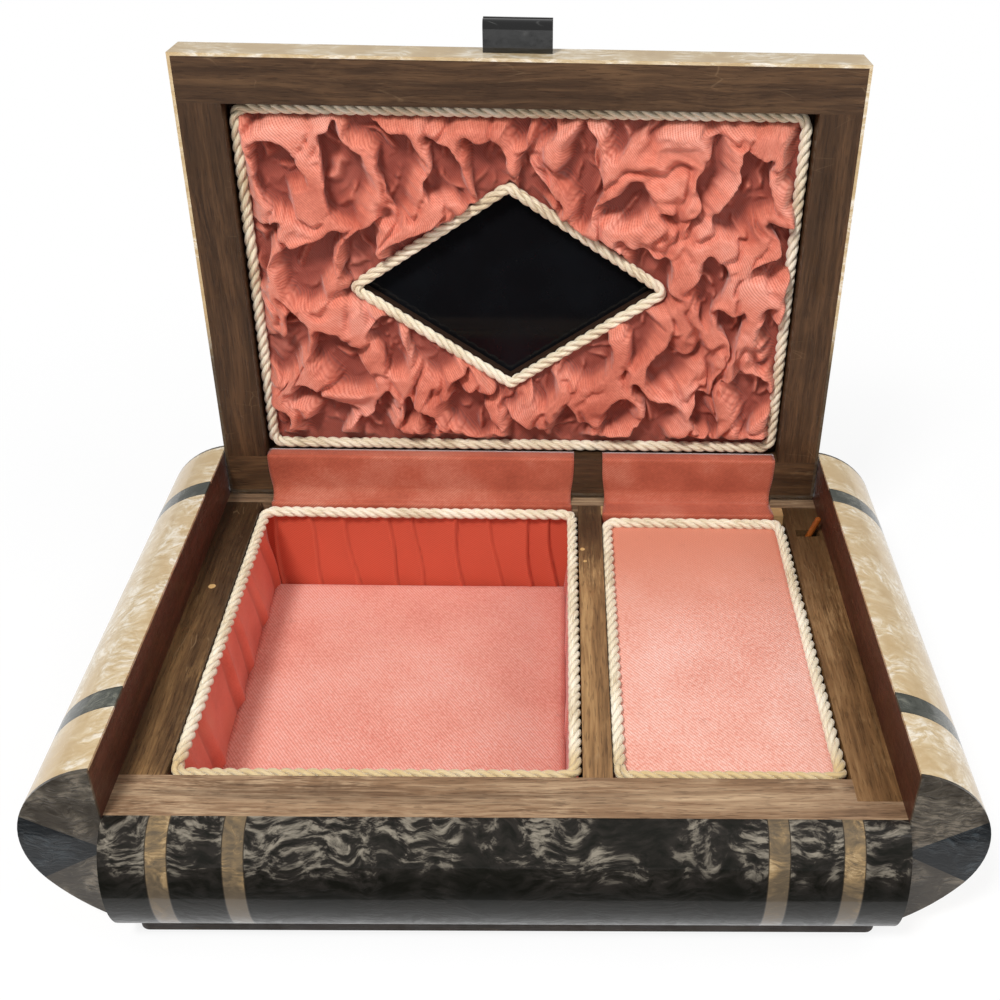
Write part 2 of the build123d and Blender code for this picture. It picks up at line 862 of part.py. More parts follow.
def grown_diamond(grow):
    """The mirror cord's middle line moved outwards, or inwards when negative."""
    a, b = diamond_half
    share = 1 + grow * math.hypot(a, b) / (a * b)
    return diamond((a * share, b * share))


def diamond_hole():
    return extrude(Pos(0, 0, mat_under - 20) * polygon(grown_diamond(-cord_radius)), 40)


def lid_mat():
    shape = block((-lid_recess_half + mat_gap, lid_recess_half - mat_gap),
                  (lid_recess_front + mat_gap, lid_recess_back - mat_gap), (mat_under, mat_top))
    return open_lid(shape - diamond_hole())


def mirror_glass():
    wide, deep = [half + mirror_margin for half in diamond_half]
    x = (diamond_x - wide, diamond_x + wide)
    y = (diamond_y - deep, diamond_y + deep)
    return open_lid(block(x, y, (mat_top, lid_board_under)))


def lid_cord_limits():
    """The middle line of the cord round the lid's recess."""
    x = lid_recess_half - lid_rebate - cord_radius
    y0 = lid_recess_front + lid_rebate + cord_radius
    y1 = lid_recess_back - lid_cord_back_gap - cord_radius
    return (-x, x), (y0, y1)


def lid_cord_height():
    return mat_under - cord_radius - lining_gap


def lid_cord():
    (x0, x1), (y0, y1) = lid_cord_limits()
    return open_lid(cord_loop([(x0, y0), (x1, y0), (x1, y1), (x0, y1)], lid_cord_height(), cord_corner))


def mirror_cord():
    return open_lid(cord_loop(grown_diamond(0), lid_cord_height(), mirror_cord_corner))


def satin_tucks(x, y):
    """Where the satin is caught down: rows of tucks, each row shifted by half a puff and uneven."""
    across = (x[1] - x[0]) / puff_columns
    along = (y[1] - y[0]) / puff_rows
    tucks = []
    for row in range(puff_rows + 1):
        for column in range(puff_columns + 1):
            shift = 0.5 * (row % 2)
            sway = 0.22 * math.sin(2.4 * column + 1.7 * row)
            tucks.append((x[0] + across * (column + shift + sway),
                          y[0] + along * (row + 0.22 * math.sin(3.1 * column + 0.8 * row))))
    return tucks, math.hypot(across, along) / 2


def ruched_satin():
    """Puffed satin between the two cords, as a field of small facets that dips at each tuck."""
    (x0, x1), (y0, y1) = lid_cord_limits()
    inset = cord_radius + satin_gap
    x0, x1, y0, y1 = x0 + inset, x1 - inset, y0 + inset, y1 - inset
    columns = puff_cells * puff_columns
    rows = puff_cells * puff_rows
    back = mat_under - lining_gap
    flat = back - satin_thick
    tucks, reach = satin_tucks((x0, x1), (y0, y1))

    def corner(column, row):
        x = x0 + (x1 - x0) * column / columns
        y = y0 + (y1 - y0) * row / rows
        inside = 0 < column < columns and 0 < row < rows
        nearest = min(math.dist((x, y), tuck) for tuck in tucks)
        puff = min(nearest / reach, 1.0) ** puff_swell
        return Vector(x, y, flat - (puff_height * puff if inside else 0))

    faces = []
    for column in range(columns):
        for row in range(rows):
            a = corner(column, row)
            b = corner(column + 1, row)
            c = corner(column + 1, row + 1)
            d = corner(column, row + 1)
            faces.append(Face(Wire.make_polygon([a, b, c])))
            faces.append(Face(Wire.make_polygon([a, c, d])))
    rim = [(x0, y0), (x1, y0), (x1, y1), (x0, y1)]
    faces.append(Face(Wire.make_polygon([Vector(x, y, back) for x, y in rim])))
    for index in range(4):
        (ax, ay), (bx, by) = rim[index], rim[(index + 1) % 4]
        side = [Vector(ax, ay, back), Vector(bx, by, back), Vector(bx, by, flat), Vector(ax, ay, flat)]
        faces.append(Face(Wire.make_polygon(side)))
    body = Solid(Shell(faces))
    hole = extrude(Pos(0, 0, mat_under - 20) * polygon(grown_diamond(cord_radius + satin_hole_gap)), 40)
    return open_lid(body - hole)


# Ribbons over the hinge gap


def lid_spot(from_back, out):
    """A point of the open lid's inner face, out in front of it, as Y and Z."""
    turn = math.radians(-open_angle)
    y = lid_back - from_back - hinge_y
    z = lid_under - out - hinge_z
    return (hinge_y + y * math.cos(turn) - z * math.sin(turn),
            hinge_z + y * math.sin(turn) + z * math.cos(turn))


def hinge_ribbons():
    """Each ribbon is tucked in behind the lid's cord, lies down the lid's rail and over the back
    wall, and ends behind the lining."""
    top = lid_rail + ribbon_lift
    off_lid, on_wall = ribbon_hinge_gap
    high = rail_top + ribbon_lift
    pieces = []
    a, b, c, d = ribbon_insets
    left = (-lid_recess_half + a, divider_left - b)
    right = (divider_right + c, lid_recess_half - d)
    for limits, edge in ((left, room_back), (right, cover_back)):
        tail = edge - ribbon_tail_gap
        path = [lid_spot(top, -ribbon_tuck), lid_spot(top, ribbon_lift), lid_spot(off_lid, ribbon_lift),
                (hinge_y - on_wall, high), (tail, high), (tail, rail_top - ribbon_tail)]
        pieces.append(along_x(strip(path, ribbon_thick), limits[0], limits[1]))
    return pieces


# Movement


def movement_board():
    gap = lining_clearance
    shape = block((divider_right + gap, room_right - gap), (room_front + gap, room_back - gap),
                  (base_thick, board_top))
    shape -= rod(movement_x, barrel_y, (0, board_top + 1), recess_radius, "z")
    for piece in plate_screws():
        shape -= piece
    return shape


def comb_ends():
    """The comb's back edge and the tips of its teeth."""
    tip = movement_x - cylinder_radius - pin_height - comb_clearance
    return plate_x[0] + comb_seat[0], tip


def comb_screw_places():
    middle = (cylinder_y[0] + cylinder_y[1]) / 2
    x = plate_x[0] + comb_screw_inset
    return [(x, middle + step * comb_screw_spacing) for step in (-1, 0, 1)]


def note_pitch():
    return (cylinder_y[1] - cylinder_y[0] - 2 * comb_margin) / note_count


def bedplate():
    """The cast plate, with the raised seat that carries the comb."""
    shape = block(plate_x, plate_y, (board_top, plate_top))
    shape = fillet(shape.edges().filter_by(Axis.Z), plate_corner)
    seat = [plate_x[0] + reach for reach in comb_seat]
    seat_y = (cylinder_y[0] - comb_seat_overhang, cylinder_y[1] + comb_seat_overhang)
    shape += block(seat, seat_y, (plate_top, axis_z - comb_thick / 2))
    shape -= rod(movement_x, barrel_y, (0, plate_top + 1), arbor_radius + running_clearance, "z")
    shape -= rod(worm_x, worm_y, (plate_top - plate_thick / 2, plate_top + 1),
                 spindle_radius + running_clearance, "z")
    for piece in plate_screws():
        shape -= piece
    for x, y in comb_screw_places():
        shape -= rod(x, y, (axis_z - comb_screw_deep, axis_z + 1), comb_screw_radius, "z")
    return shape


def tone_comb():
    """A steel comb of tuned teeth: the bass teeth are longest and carry lead under their tips."""
    back, tip = comb_ends()
    pitch = note_pitch()
    start = cylinder_y[0] + comb_margin
    low = axis_z - comb_thick / 2
    shape = block((back, tip), (start, start + pitch * note_count), (low, low + comb_thick))
    for gap in range(1, note_count):
        y = start + pitch * gap
        root = back + comb_root[0] + (comb_root[1] - comb_root[0]) * gap / note_count
        slot = (y - comb_slot / 2, y + comb_slot / 2)
        shape -= block((root, tip + 1), slot, (low - 1, low + comb_thick + 1))
    for tooth in range(lead_count):
        y = start + pitch * tooth
        length = lead_length[0] + (lead_length[1] - lead_length[0]) * tooth / (lead_count - 1)
        x = tip - lead_setback
        shape += block((x - length, x), (y + comb_slot, y + pitch - comb_slot), (low - lead_thick, low))
    for x, y in comb_screw_places():
        shape -= rod(x, y, (low - 1, low + comb_thick + 1), comb_screw_radius, "z")
    return shape


def comb_screws():
    screws = []
    top = axis_z + comb_thick / 2
    slot_width, slot_depth = screw_slot
    for x, y in comb_screw_places():
        head_top = top + comb_screw_head_high
        piece = rod(x, y, (axis_z - comb_screw_deep, top), comb_screw_radius, "z")
        piece += rod(x, y, (top, head_top), comb_screw_head, "z")
        slot = block((x - comb_screw_head, x + comb_screw_head), (y - slot_width / 2, y + slot_width / 2),
                     (head_top - slot_depth, head_top + 1))
        screws.append(piece - slot)
    return screws


def gear_face(teeth, module, first, tip_share=0.8, root_share=1.15, slack=0.16):
    """An involute gear's face. The middle of a tooth lies at the angle first, in degrees."""
    pitch_radius = module * teeth / 2
    base_radius = pitch_radius * math.cos(math.radians(20))
    tip_radius = pitch_radius + tip_share * module
    root_radius = pitch_radius - root_share * module

    def involute(radius):
        angle = math.acos(min(base_radius / radius, 1.0))
        return math.tan(angle) - angle

    half_at_pitch = (math.pi / 2 - slack) / teeth

    def half_angle(radius):
        return half_at_pitch + involute(pitch_radius) - involute(max(radius, base_radius))

    radii = [root_radius, max(base_radius, root_radius), pitch_radius, tip_radius]
    if radii[1] - radii[0] < 0.02:
        radii.pop(0)
    points = []
    for tooth in range(teeth):
        middle = math.radians(first) + 2 * math.pi * tooth / teeth
        rising = [(radius, middle - half_angle(radius)) for radius in radii]
        falling = [(radius, middle + half_angle(radius)) for radius in reversed(radii)]
        points += [(r * math.cos(a), r * math.sin(a)) for r, a in rising + falling]
    return polygon(points)


def spring_barrel():
    """The mainspring's drum, with crown teeth standing on its top."""
    x, y = movement_x, barrel_y
    root_z = crown_pitch_z - crown_module
    tip_z = crown_pitch_z + crown_tip * crown_module
    shape = rod(x, y, (plate_top + barrel_lift, root_z), barrel_radius, "z")
    shape = fillet(shape.edges().sort_by(Axis.Z)[0], barrel_round)
    half_root, half_tip = crown_tooth[0] / 2, crown_tooth[1] / 2
    low = root_z - mesh_clearance
    tooth = polygon([(-half_root, low), (half_root, low), (half_tip, tip_z), (-half_tip, tip_z)])
    pitch_radius = crown_module * crown_teeth / 2
    tooth = along_y(tooth, pitch_radius - crown_reach, barrel_radius - mesh_clearance)
    for index in range(crown_teeth):
        shape += Pos(x, y) * Rot(0, 0, 360 * index / crown_teeth) * tooth
    return shape - rod(x, y, (0, rail_top), arbor_radius + running_clearance, "z")


def winding_arbor():
    """The arbor that the key turns."""
    shape = rod(movement_x, barrel_y, (arbor_foot, crown_pitch_z + arbor_rise), arbor_radius, "z")
    return chamfer(shape.edges().sort_by(Axis.Z)[-1], arbor_radius / 4)


def winding_key():
    """A butterfly key: a hub with two pierced wings, clear of the table."""
    x, y = movement_x, barrel_y
    hub = rod(x, y, key_hub, key_hub_radius, "z")
    wings = Rectangle(2 * key_wing_offset, 2 * key_hub_radius * 0.7)
    for side in (-1, 1):
        wings += Pos(side * key_wing_offset, 0) * Ellipse(*key_wing)
    for side in (-1, 1):
        wings -= Pos(side * key_hole_offset, 0) * Circle(key_hole_radius)
    shape = hub + along_y(Pos(x, key_middle) * wings, y - key_thick / 2, y + key_thick / 2)
    return shape - rod(x, y, (arbor_foot, key_hub[1] + 1), arbor_radius, "z")


def pinned_cylinder():
    """The brass cylinder: every note has its own track of pins."""
    x = movement_x
    drum = rod(x, cylinder_y, axis_z, cylinder_radius, "y")
    note_step, beat_step, spread = pin_steps
    sunk = pin_height / 2
    pin = Pos(cylinder_radius + (pin_height - sunk) / 2, 0, 0) * Box(pin_height + sunk, pin_width, pin_width)
    pins = []
    for note in range(note_count):
        y = cylinder_y[0] + comb_margin + note_pitch() * (note + 0.5)
        for beat in range(pins_per_note):
            angle = (note * note_step + beat * beat_step + beat * beat * spread) % 360
            pins.append(Pos(x, y, axis_z) * Rot(0, angle, 0) * pin)
    drum = drum + pins
    return drum - rod(x, (0, case_back), axis_z, shaft_radius, "y")


def cylinder_shaft():
    """The cylinder's shaft, with the pinion that the barrel drives and the great wheel."""
    x = movement_x
    middle = barrel_y + crown_module * crown_teeth / 2
    wheel_y = cylinder_y[1] + great_wheel_gap
    pinion_face = Pos(x, axis_z) * gear_face(crown_pinion_teeth, crown_module, 180 / crown_pinion_teeth)
    wheel_face = Pos(x, axis_z) * gear_face(great_teeth, fine_module, 0.0)
    half = crown_pinion_thick / 2
    ends = (middle - half - shaft_end, cylinder_y[1] + governor_cheeks[0] + bridge_thick + shaft_end)
    shaft = rod(x, ends, axis_z, shaft_radius, "y")
    shaft += along_y(pinion_face, middle - half, middle + half)
    return shaft + along_y(wheel_face, wheel_y, wheel_y + great_wheel_thick)


def cylinder_bridge():
    """The upright that carries the shaft between the pinion and the cylinder."""
    y = (cylinder_y[0] - bridge_thick - comb_seat_overhang, cylinder_y[0] - comb_seat_overhang)
    x = movement_x
    outline = Pos(x, (plate_top + axis_z) / 2) * Rectangle(bridge_width, axis_z - plate_top)
    outline += Pos(x, axis_z) * Circle(bridge_width / 2)
    foot_width, foot_height = bridge_foot
    outline += Pos(x, plate_top + foot_height / 2) * Rectangle(foot_width, foot_height)
    shape = along_y(outline, y[0], y[1])
    return shape - rod(x, (0, case_back), axis_z, shaft_radius + running_clearance, "y")


def governor_frame():
    """Two cheeks and a top bridge: they carry the worm wheel and the air brake's spindle."""
    cheeks = [(cylinder_y[1] + place, cylinder_y[1] + place + bridge_thick) for place in governor_cheeks]
    whole = (cheeks[0][0], cheeks[1][1])
    left = movement_x - bridge_width / 2
    right = worm_x + governor_arm
    inner = worm_x - fly_radius - governor_top_thick / 2
    high = axis_z + governor_rise
    under = high - governor_top_thick
    cheek = polygon([(left, plate_top), (inner, plate_top), (inner, under), (right, under),
                     (right, high), (left, high)])
    shape = block((governor_x - governor_top_past, right), whole, (under, high))
    shape += block((left, left + bridge_foot[0] / 2), whole, (plate_top, plate_top + bridge_foot[1]))
    for y0, y1 in cheeks:
        shape += along_y(cheek, y0, y1)
    shape -= rod(movement_x, (0, cheeks[0][1] + 1), axis_z, shaft_radius + running_clearance, "y")
    shape -= rod(governor_x, (0, case_back), axis_z, thin_shaft_radius + running_clearance, "y")
    return shape - rod(worm_x, worm_y, (axis_z, wing_top), spindle_radius + running_clearance, "z")


def governor_wheel():
    """A pinion, driven by the great wheel, and the worm wheel on one thin shaft."""
    y = cylinder_y[1]
    pinion_face = gear_face(great_pinion_teeth, fine_module, 180 / great_pinion_teeth)
    wheel_face = gear_face(worm_wheel_teeth, fine_module, 0.0, 0.7, 1.1, 0.5)
    low = y + fine_pinion_gap
    half = worm_wheel_thick / 2
    pinion = along_y(Pos(governor_x, axis_z) * pinion_face, low, low + fine_pinion_thick)
    wheel = along_y(Pos(governor_x, axis_z) * wheel_face, worm_y - half, worm_y + half)
    shaft = rod(governor_x, (low, y + governor_cheeks[1] + bridge_thick), axis_z, thin_shaft_radius, "y")
    return pinion + wheel + shaft


def air_brake():
    """The fly's upright spindle, with its worm's core and two vanes that beat the air."""
    top = axis_z + governor_rise - mesh_clearance
    spindle = rod(worm_x, worm_y, (plate_top - plate_thick / 2 + spindle_gap, top), spindle_radius, "z")
    worm = rod(worm_x, worm_y, (axis_z - worm_length / 2, axis_z + worm_length / 2),
               worm_core_radius, "z")
    vane_low = plate_top + fly_lift
    vane = block((worm_x - fly_radius, worm_x + fly_radius),
                 (worm_y - vane_thick / 2, worm_y + vane_thick / 2), (vane_low, vane_low + fly_height))
    hub = rod(worm_x, worm_y, (vane_low - fly_hub_past, vane_low + fly_height + fly_hub_past),
              fly_hub_radius, "z")
    return spindle + worm + vane + hub


# Stop peg


def peg_line(from_top):
    """A point of the peg's middle line, measured down from its tip."""
    lean = math.radians(peg_lean)
    return (peg_top[0] - from_top * math.sin(lean), peg_top[2] - from_top * math.cos(lean))


def stop_wire():
    """The wire from the peg's foot to the edge of the air brake."""
    x, z = peg_line(peg_length - wire_from_foot)
    y = peg_top[1]
    sideways = peg_travel * math.sin(math.radians(peg_lean))
    reach = worm_x + fly_radius + wire_gap + wire_radius + sideways
    path = FilletPolyline((x, y, z), (reach, y, z), (reach, y, z - wire_drop), radius=wire_bend)
    section = Plane(origin=(x, y, z), z_dir=(-1, 0, 0)) * Circle(wire_radius)
    return sweep(section, path=path)


def stop_peg():
    y = peg_top[1]
    x, z = peg_line(peg_radius)
    lean = math.radians(peg_lean)
    plane = Plane(origin=(x, y, z), z_dir=(-math.sin(lean), 0, -math.cos(lean)))
    shape = extrude(plane * Circle(peg_radius), peg_length - peg_radius)
    shape += Pos(x, y, z) * Sphere(peg_radius)
    return shape - stop_wire()


# Every node and what it holds

nodes = {
    "base_board": base_board(),
    "base_screws": base_screws(),
    "front_wall": front_wall(),
    "back_wall": back_wall(),
    "left_wall": left_wall(),
    "right_wall": right_wall(),
    "divider": divider(),
    "back_sheet": back_sheet(),
    "left_wing_core": mirror(wing_core(), Plane.YZ),
    "right_wing_core": wing_core(),
    "left_wing_sheets": [mirror(piece, Plane.YZ) for piece in wing_sheets()],
    "right_wing_sheets": wing_sheets(),
    "wing_bands": both_sides(wing_bands()),
    "wing_cap_dark_wedges": both_sides(dark_cap_pieces()),
    "wing_cap_pale_wedges": both_sides(pale_cap_pieces()),
    "roll_core": roll_core(),
    "roll_sheets": roll_sheets(),
    "roll_bands": roll_bands(),
    "wall_lining": wall_lining(),
    "floor_pad": floor_pad(),
    "cover_battens": cover_battens(),
    "cover_board": cover_board(),
    "cover_pad": cover_pad(),
    "case_cords": case_cords(),
    "hinge_case_leaves": hinge_case_leaves(),
    "hinge_pins": hinge_pins(),
    "hinge_case_nails": [case_nail(x, y) for x, y in hinge_nail_places()],
    "hinge_lid_leaves": hinge_lid_leaves(),
    "hinge_lid_nails": [open_lid(lid_nail(x, y)) for x, y in hinge_nail_places()],
    "hinge_ribbons": hinge_ribbons(),
    "lid_front_rail": lid_front_rail(),
    "lid_back_rail": lid_back_rail(),
    "lid_stiles": lid_stiles(),
    "lid_board": lid_board(),
    "lid_sheet": lid_sheet(),
    "lid_handle": lid_handle(),
    "lid_mat": lid_mat(),
    "mirror": mirror_glass(),
    "mirror_cord": mirror_cord(),
    "lid_cord": lid_cord(),
    "ruched_satin": ruched_satin(),
    "movement_board": movement_board(),
    "bedplate": bedplate(),
    "bedplate_screws": plate_screws(),
    "tone_comb": tone_comb(),
    "comb_screws": comb_screws(),
    "cylinder_bridge": cylinder_bridge(),
    "governor_frame": governor_frame(),
    "spring_barrel": spring_barrel(),
    "winding_arbor": winding_arbor(),
    "winding_key": winding_key(),
    "pinned_cylinder": pinned_cylinder(),
    "cylinder_shaft": cylinder_shaft(),
    "governor_wheel": governor_wheel(),
    "air_brake": air_brake(),
    "stop_peg": stop_peg(),
    "stop_wire": stop_wire(),
}

os.makedirs("parts", exist_ok=True)
for name, shape in nodes.items():
    solids = shape if isinstance(shape, list) else [shape]
    export_step(Compound(children=[solid for piece in solids for solid in piece.solids()]),
                f"parts/{name}.step")
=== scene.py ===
import json
import math
import random

import bpy
import numpy as np
from mathutils import Matrix, Vector, noise


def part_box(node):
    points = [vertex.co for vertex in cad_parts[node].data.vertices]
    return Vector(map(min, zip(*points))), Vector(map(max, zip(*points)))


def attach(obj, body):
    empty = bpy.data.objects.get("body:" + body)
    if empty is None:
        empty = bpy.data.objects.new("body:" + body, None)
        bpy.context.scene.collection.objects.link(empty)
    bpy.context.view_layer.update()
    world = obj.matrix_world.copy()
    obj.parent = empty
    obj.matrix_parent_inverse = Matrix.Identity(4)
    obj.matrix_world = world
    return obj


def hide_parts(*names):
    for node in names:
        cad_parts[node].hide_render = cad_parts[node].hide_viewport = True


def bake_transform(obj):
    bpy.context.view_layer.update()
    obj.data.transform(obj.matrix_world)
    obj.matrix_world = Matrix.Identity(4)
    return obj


bl_info = {
    "name": "Musical jewelry box finishes",
    "version": (1, 0, 0),
    "blender": (4, 5, 0),
    "location": "3D View > Sidebar > Jewelry box",
    "description": "Ropes, satin, celluloid and woodwork of a musical jewelry box, built on its packed model",
    "category": "Object",
}

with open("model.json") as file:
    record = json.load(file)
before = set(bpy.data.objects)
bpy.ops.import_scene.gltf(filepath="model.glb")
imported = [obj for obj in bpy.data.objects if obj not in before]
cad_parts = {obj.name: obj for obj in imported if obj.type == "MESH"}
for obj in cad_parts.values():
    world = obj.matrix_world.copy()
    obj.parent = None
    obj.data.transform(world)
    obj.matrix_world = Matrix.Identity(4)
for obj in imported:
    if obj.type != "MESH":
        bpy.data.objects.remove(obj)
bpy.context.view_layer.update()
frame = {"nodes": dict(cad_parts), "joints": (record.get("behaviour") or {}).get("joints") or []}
hinge = next(j for j in frame["joints"] if j["name"] == "lid_hinge")
hinge_place = Vector(hinge["pos_m"])

# Sizes in metres

mm = 0.001
cord_radius = 0.00195
case_cord_corner = 0.0032
lid_cord_corner = 0.0036
mirror_cord_corner = 0.0018
mirror_cord_bend = 4 * mm
satin_pitch = 0.0010
satin_reach = 0.0078
satin_full = 0.0056
ridge_width = 0.0031
ridge_drift = 0.0085
spoke_height = 0.0022
crease_depth = 0.0030
stitch_radius = 0.0011
lining_step = 0.0006
ribbon_lift = 0.00016
ribbon_corner = 0.0011
ribbon_waist = 0.0011
ribbon_thick = 0.0002
hinge_gap = 0.0026

# How much larger the gathered cloths are cut than they lie

satin_takes_up = 1.45
lining_takes_up = 1.25


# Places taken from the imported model

def points_of(node):
    """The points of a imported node's mesh."""
    return [v.co for v in frame["nodes"][node].data.vertices]


def lid_turn():
    """Turns a point of the closed lid to where it stands at rest."""
    to_axis = Matrix.Translation(hinge_place)
    return to_axis @ Matrix.Rotation(-math.radians(hinge["range_deg"][1]), 4, "X") @ to_axis.inverted()


lid_open = lid_turn()


def corners(points):
    """The lowest and highest corner of some points."""
    points = np.array(points)
    return Vector(points.min(0)), Vector(points.max(0))


def closed_box(node):
    """A lid node's box when the lid is shut."""
    shut = lid_open.inverted()
    return corners([shut @ p for p in points_of(node)])


def halves(node):
    """The boxes of a node's two parts, to the left and to the right of the divider."""
    low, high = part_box("divider")
    middle = (low.x + high.x) / 2
    points = points_of(node)
    return [corners([p for p in points if p.x < middle]), corners([p for p in points if p.x > middle])]


def side_places(node, axis):
    """Where a node's flat sides lie along an axis, to a tenth of a millimetre."""
    return sorted({round(p[axis], 4) for p in points_of(node)})


# Node trees

def paint(code):
    """A colour written as in a web page, as the shader's own numbers."""
    parts = [int(code[i:i + 2], 16) / 255 for i in (0, 2, 4)]
    return tuple(p / 12.92 if p <= 0.04045 else ((p + 0.055) / 1.055) ** 2.4 for p in parts) + (1.0,)


class Wire:
    """An output of a node, with short calls and sums that make the nodes after it. Sizes are in metres."""

    def __init__(self, nodes, socket):
        self.nodes = nodes
        self.socket = socket

    def __add__(self, other):
        return self.nodes.maths("ADD", self, other)

    def __sub__(self, other):
        return self.nodes.maths("SUBTRACT", self, other)

    def __mul__(self, other):
        return self.nodes.maths("MULTIPLY", self, other)

    def __truediv__(self, other):
        return self.nodes.maths("DIVIDE", self, other)

    def __abs__(self):
        return self.nodes.maths("ABSOLUTE", self)

    def after(self, kind, inputs=(), output=0, **settings):
        """An output of a new node that this wire goes into first."""
        return self.nodes.wire(kind, {0: self, **dict(inputs)}, output, **settings)

    def span(self, low, high, bottom=0.0, top=1.0):
        """A soft change from bottom to top while this goes from low to high."""
        inputs = {"From Min": low, "From Max": high, "To Min": bottom, "To Max": top}
        return self.after("ShaderNodeMapRange", inputs, interpolation_type="SMOOTHSTEP")

    def ramp(self, stops):
        """Colours by their places on a scale from 0 to 1."""
        made = self.nodes.add("ShaderNodeValToRGB", {"Fac": self})
        elements = made.color_ramp.elements
        while len(elements) < len(stops):
            elements.new(0.5)
        for element, (spot, code) in zip(elements, stops.items()):
            element.position = spot
            element.color = paint(code)
        return Wire(self.nodes, made.outputs["Color"])

    def bump(self, depth):
        return self.nodes.wire("ShaderNodeBump", {"Height": self, "Distance": depth, "Strength": 1.0})

    def stretch(self, scale=(1, 1, 1), turn=0):
        """Stretches a pattern along its axes, or turns it about Z."""
        return self.after("ShaderNodeMapping", {"Scale": scale, "Rotation": (0, 0, math.radians(turn))})

    def speckle(self, size, detail=3.0, rough=0.5, output="Fac"):
        inputs = {"Scale": 1 / size, "Detail": detail, "Roughness": rough}
        return self.after("ShaderNodeTexNoise", inputs, output)

    def cells(self, size, feature="F1"):
        return self.after("ShaderNodeTexVoronoi", {"Scale": 1 / size}, "Distance", feature=feature)

    def stripes(self, period, twist, detail, coarse):
        inputs = {"Scale": 2 * math.pi / 20 / period, "Distortion": twist, "Detail": detail,
                  "Detail Scale": coarse}
        return self.after("ShaderNodeTexWave", inputs, "Fac")

    def wander(self, size, reach):
        """Shifts each point by a soft random amount, so that a pattern swirls."""
        vectors = self.nodes.vectors
        drift = vectors("SUBTRACT", self.speckle(size, 2.0, output="Color"), (0.5, 0.5, 0.5))
        return vectors("ADD", self, vectors("MULTIPLY", drift, (reach, reach, reach)))


class Nodes:
    """A node tree, with short calls that make its nodes. Colours are written as in a web page."""

    def __init__(self, tree):
        self.tree = tree

    def feed(self, socket, value):
        if isinstance(value, Wire):
            self.tree.links.new(value.socket, socket)
        else:
            socket.default_value = paint(value) if socket.type == "RGBA" else value

    def add(self, kind, inputs=(), **settings):
        made = self.tree.nodes.new(kind)
        for key, value in settings.items():
            setattr(made, key, value)
        for socket, value in dict(inputs).items():
            self.feed(made.inputs[socket], value)
        return made

    def wires(self, kind, inputs, outputs, **settings):
        """Makes a node and gives some of its outputs."""
        made = self.add(kind, inputs, **settings)
        return [Wire(self, made.outputs[output]) for output in outputs]

    def wire(self, kind, inputs=(), output=0, **settings):
        return self.wires(kind, inputs, [output], **settings)[0]

    def maths(self, operation, one, other=0.0):
        return self.wire("ShaderNodeMath", {0: one, 1: other}, operation=operation)

    def vectors(self, operation, one, other, output="Vector"):
        return self.wire("ShaderNodeVectorMath", {0: one, 1: other}, output, operation=operation)

    def seen_by(self, one, other):
        """1 for two kinds of rays, such as the camera's, and 0 for all others."""
        rays = self.wires("ShaderNodeLightPath", (), (one, other))
        return self.maths("MAXIMUM", *rays)


class Finish(Nodes):
    """A material whose nodes lead to its shader."""

    def __init__(self, name, **sockets):
        self.material = bpy.data.materials.new(name)
        self.material.use_nodes = True
        super().__init__(self.material.node_tree)
        self.shader = self.tree.nodes["Principled BSDF"]
        self.place = self.wire("ShaderNodeTexCoord", output="Object")
        self.wear(**sockets)

    def wear(self, **sockets):
        """Joins values to the shader: Base_Color, Roughness, Normal and the like."""
        for socket, value in sockets.items():
            self.feed(self.shader.inputs[socket.replace("_", " ")], value)
        return self.material

    def axis(self, name):
        """Each point's place along an axis."""
        return self.place.after("ShaderNodeSeparateXYZ", output=name)

    def attribute(self, name):
        return self.wire("ShaderNodeAttribute", output="Fac", attribute_name=name)

    def mix(self, share, one, other):
        return self.wire("ShaderNodeMix", {0: share, 6: one, 7: other}, 2, data_type="RGBA")

    def spot(self, centre, radius):
        """1 inside a small ragged patch, 0 outside."""
        far = self.vectors("DISTANCE", self.place.wander(radius, radius * 0.4), centre, "Value")
        return far.span(radius * 0.8, radius, 1.0, 0.0)


# Materials

grain_stretch = {"X": (0.05, 1, 1), "Y": (1, 0.05, 1), "Z": (1, 1, 0.05)}
scratch_turn = {"X": 8, "Y": 82, "Z": 20}


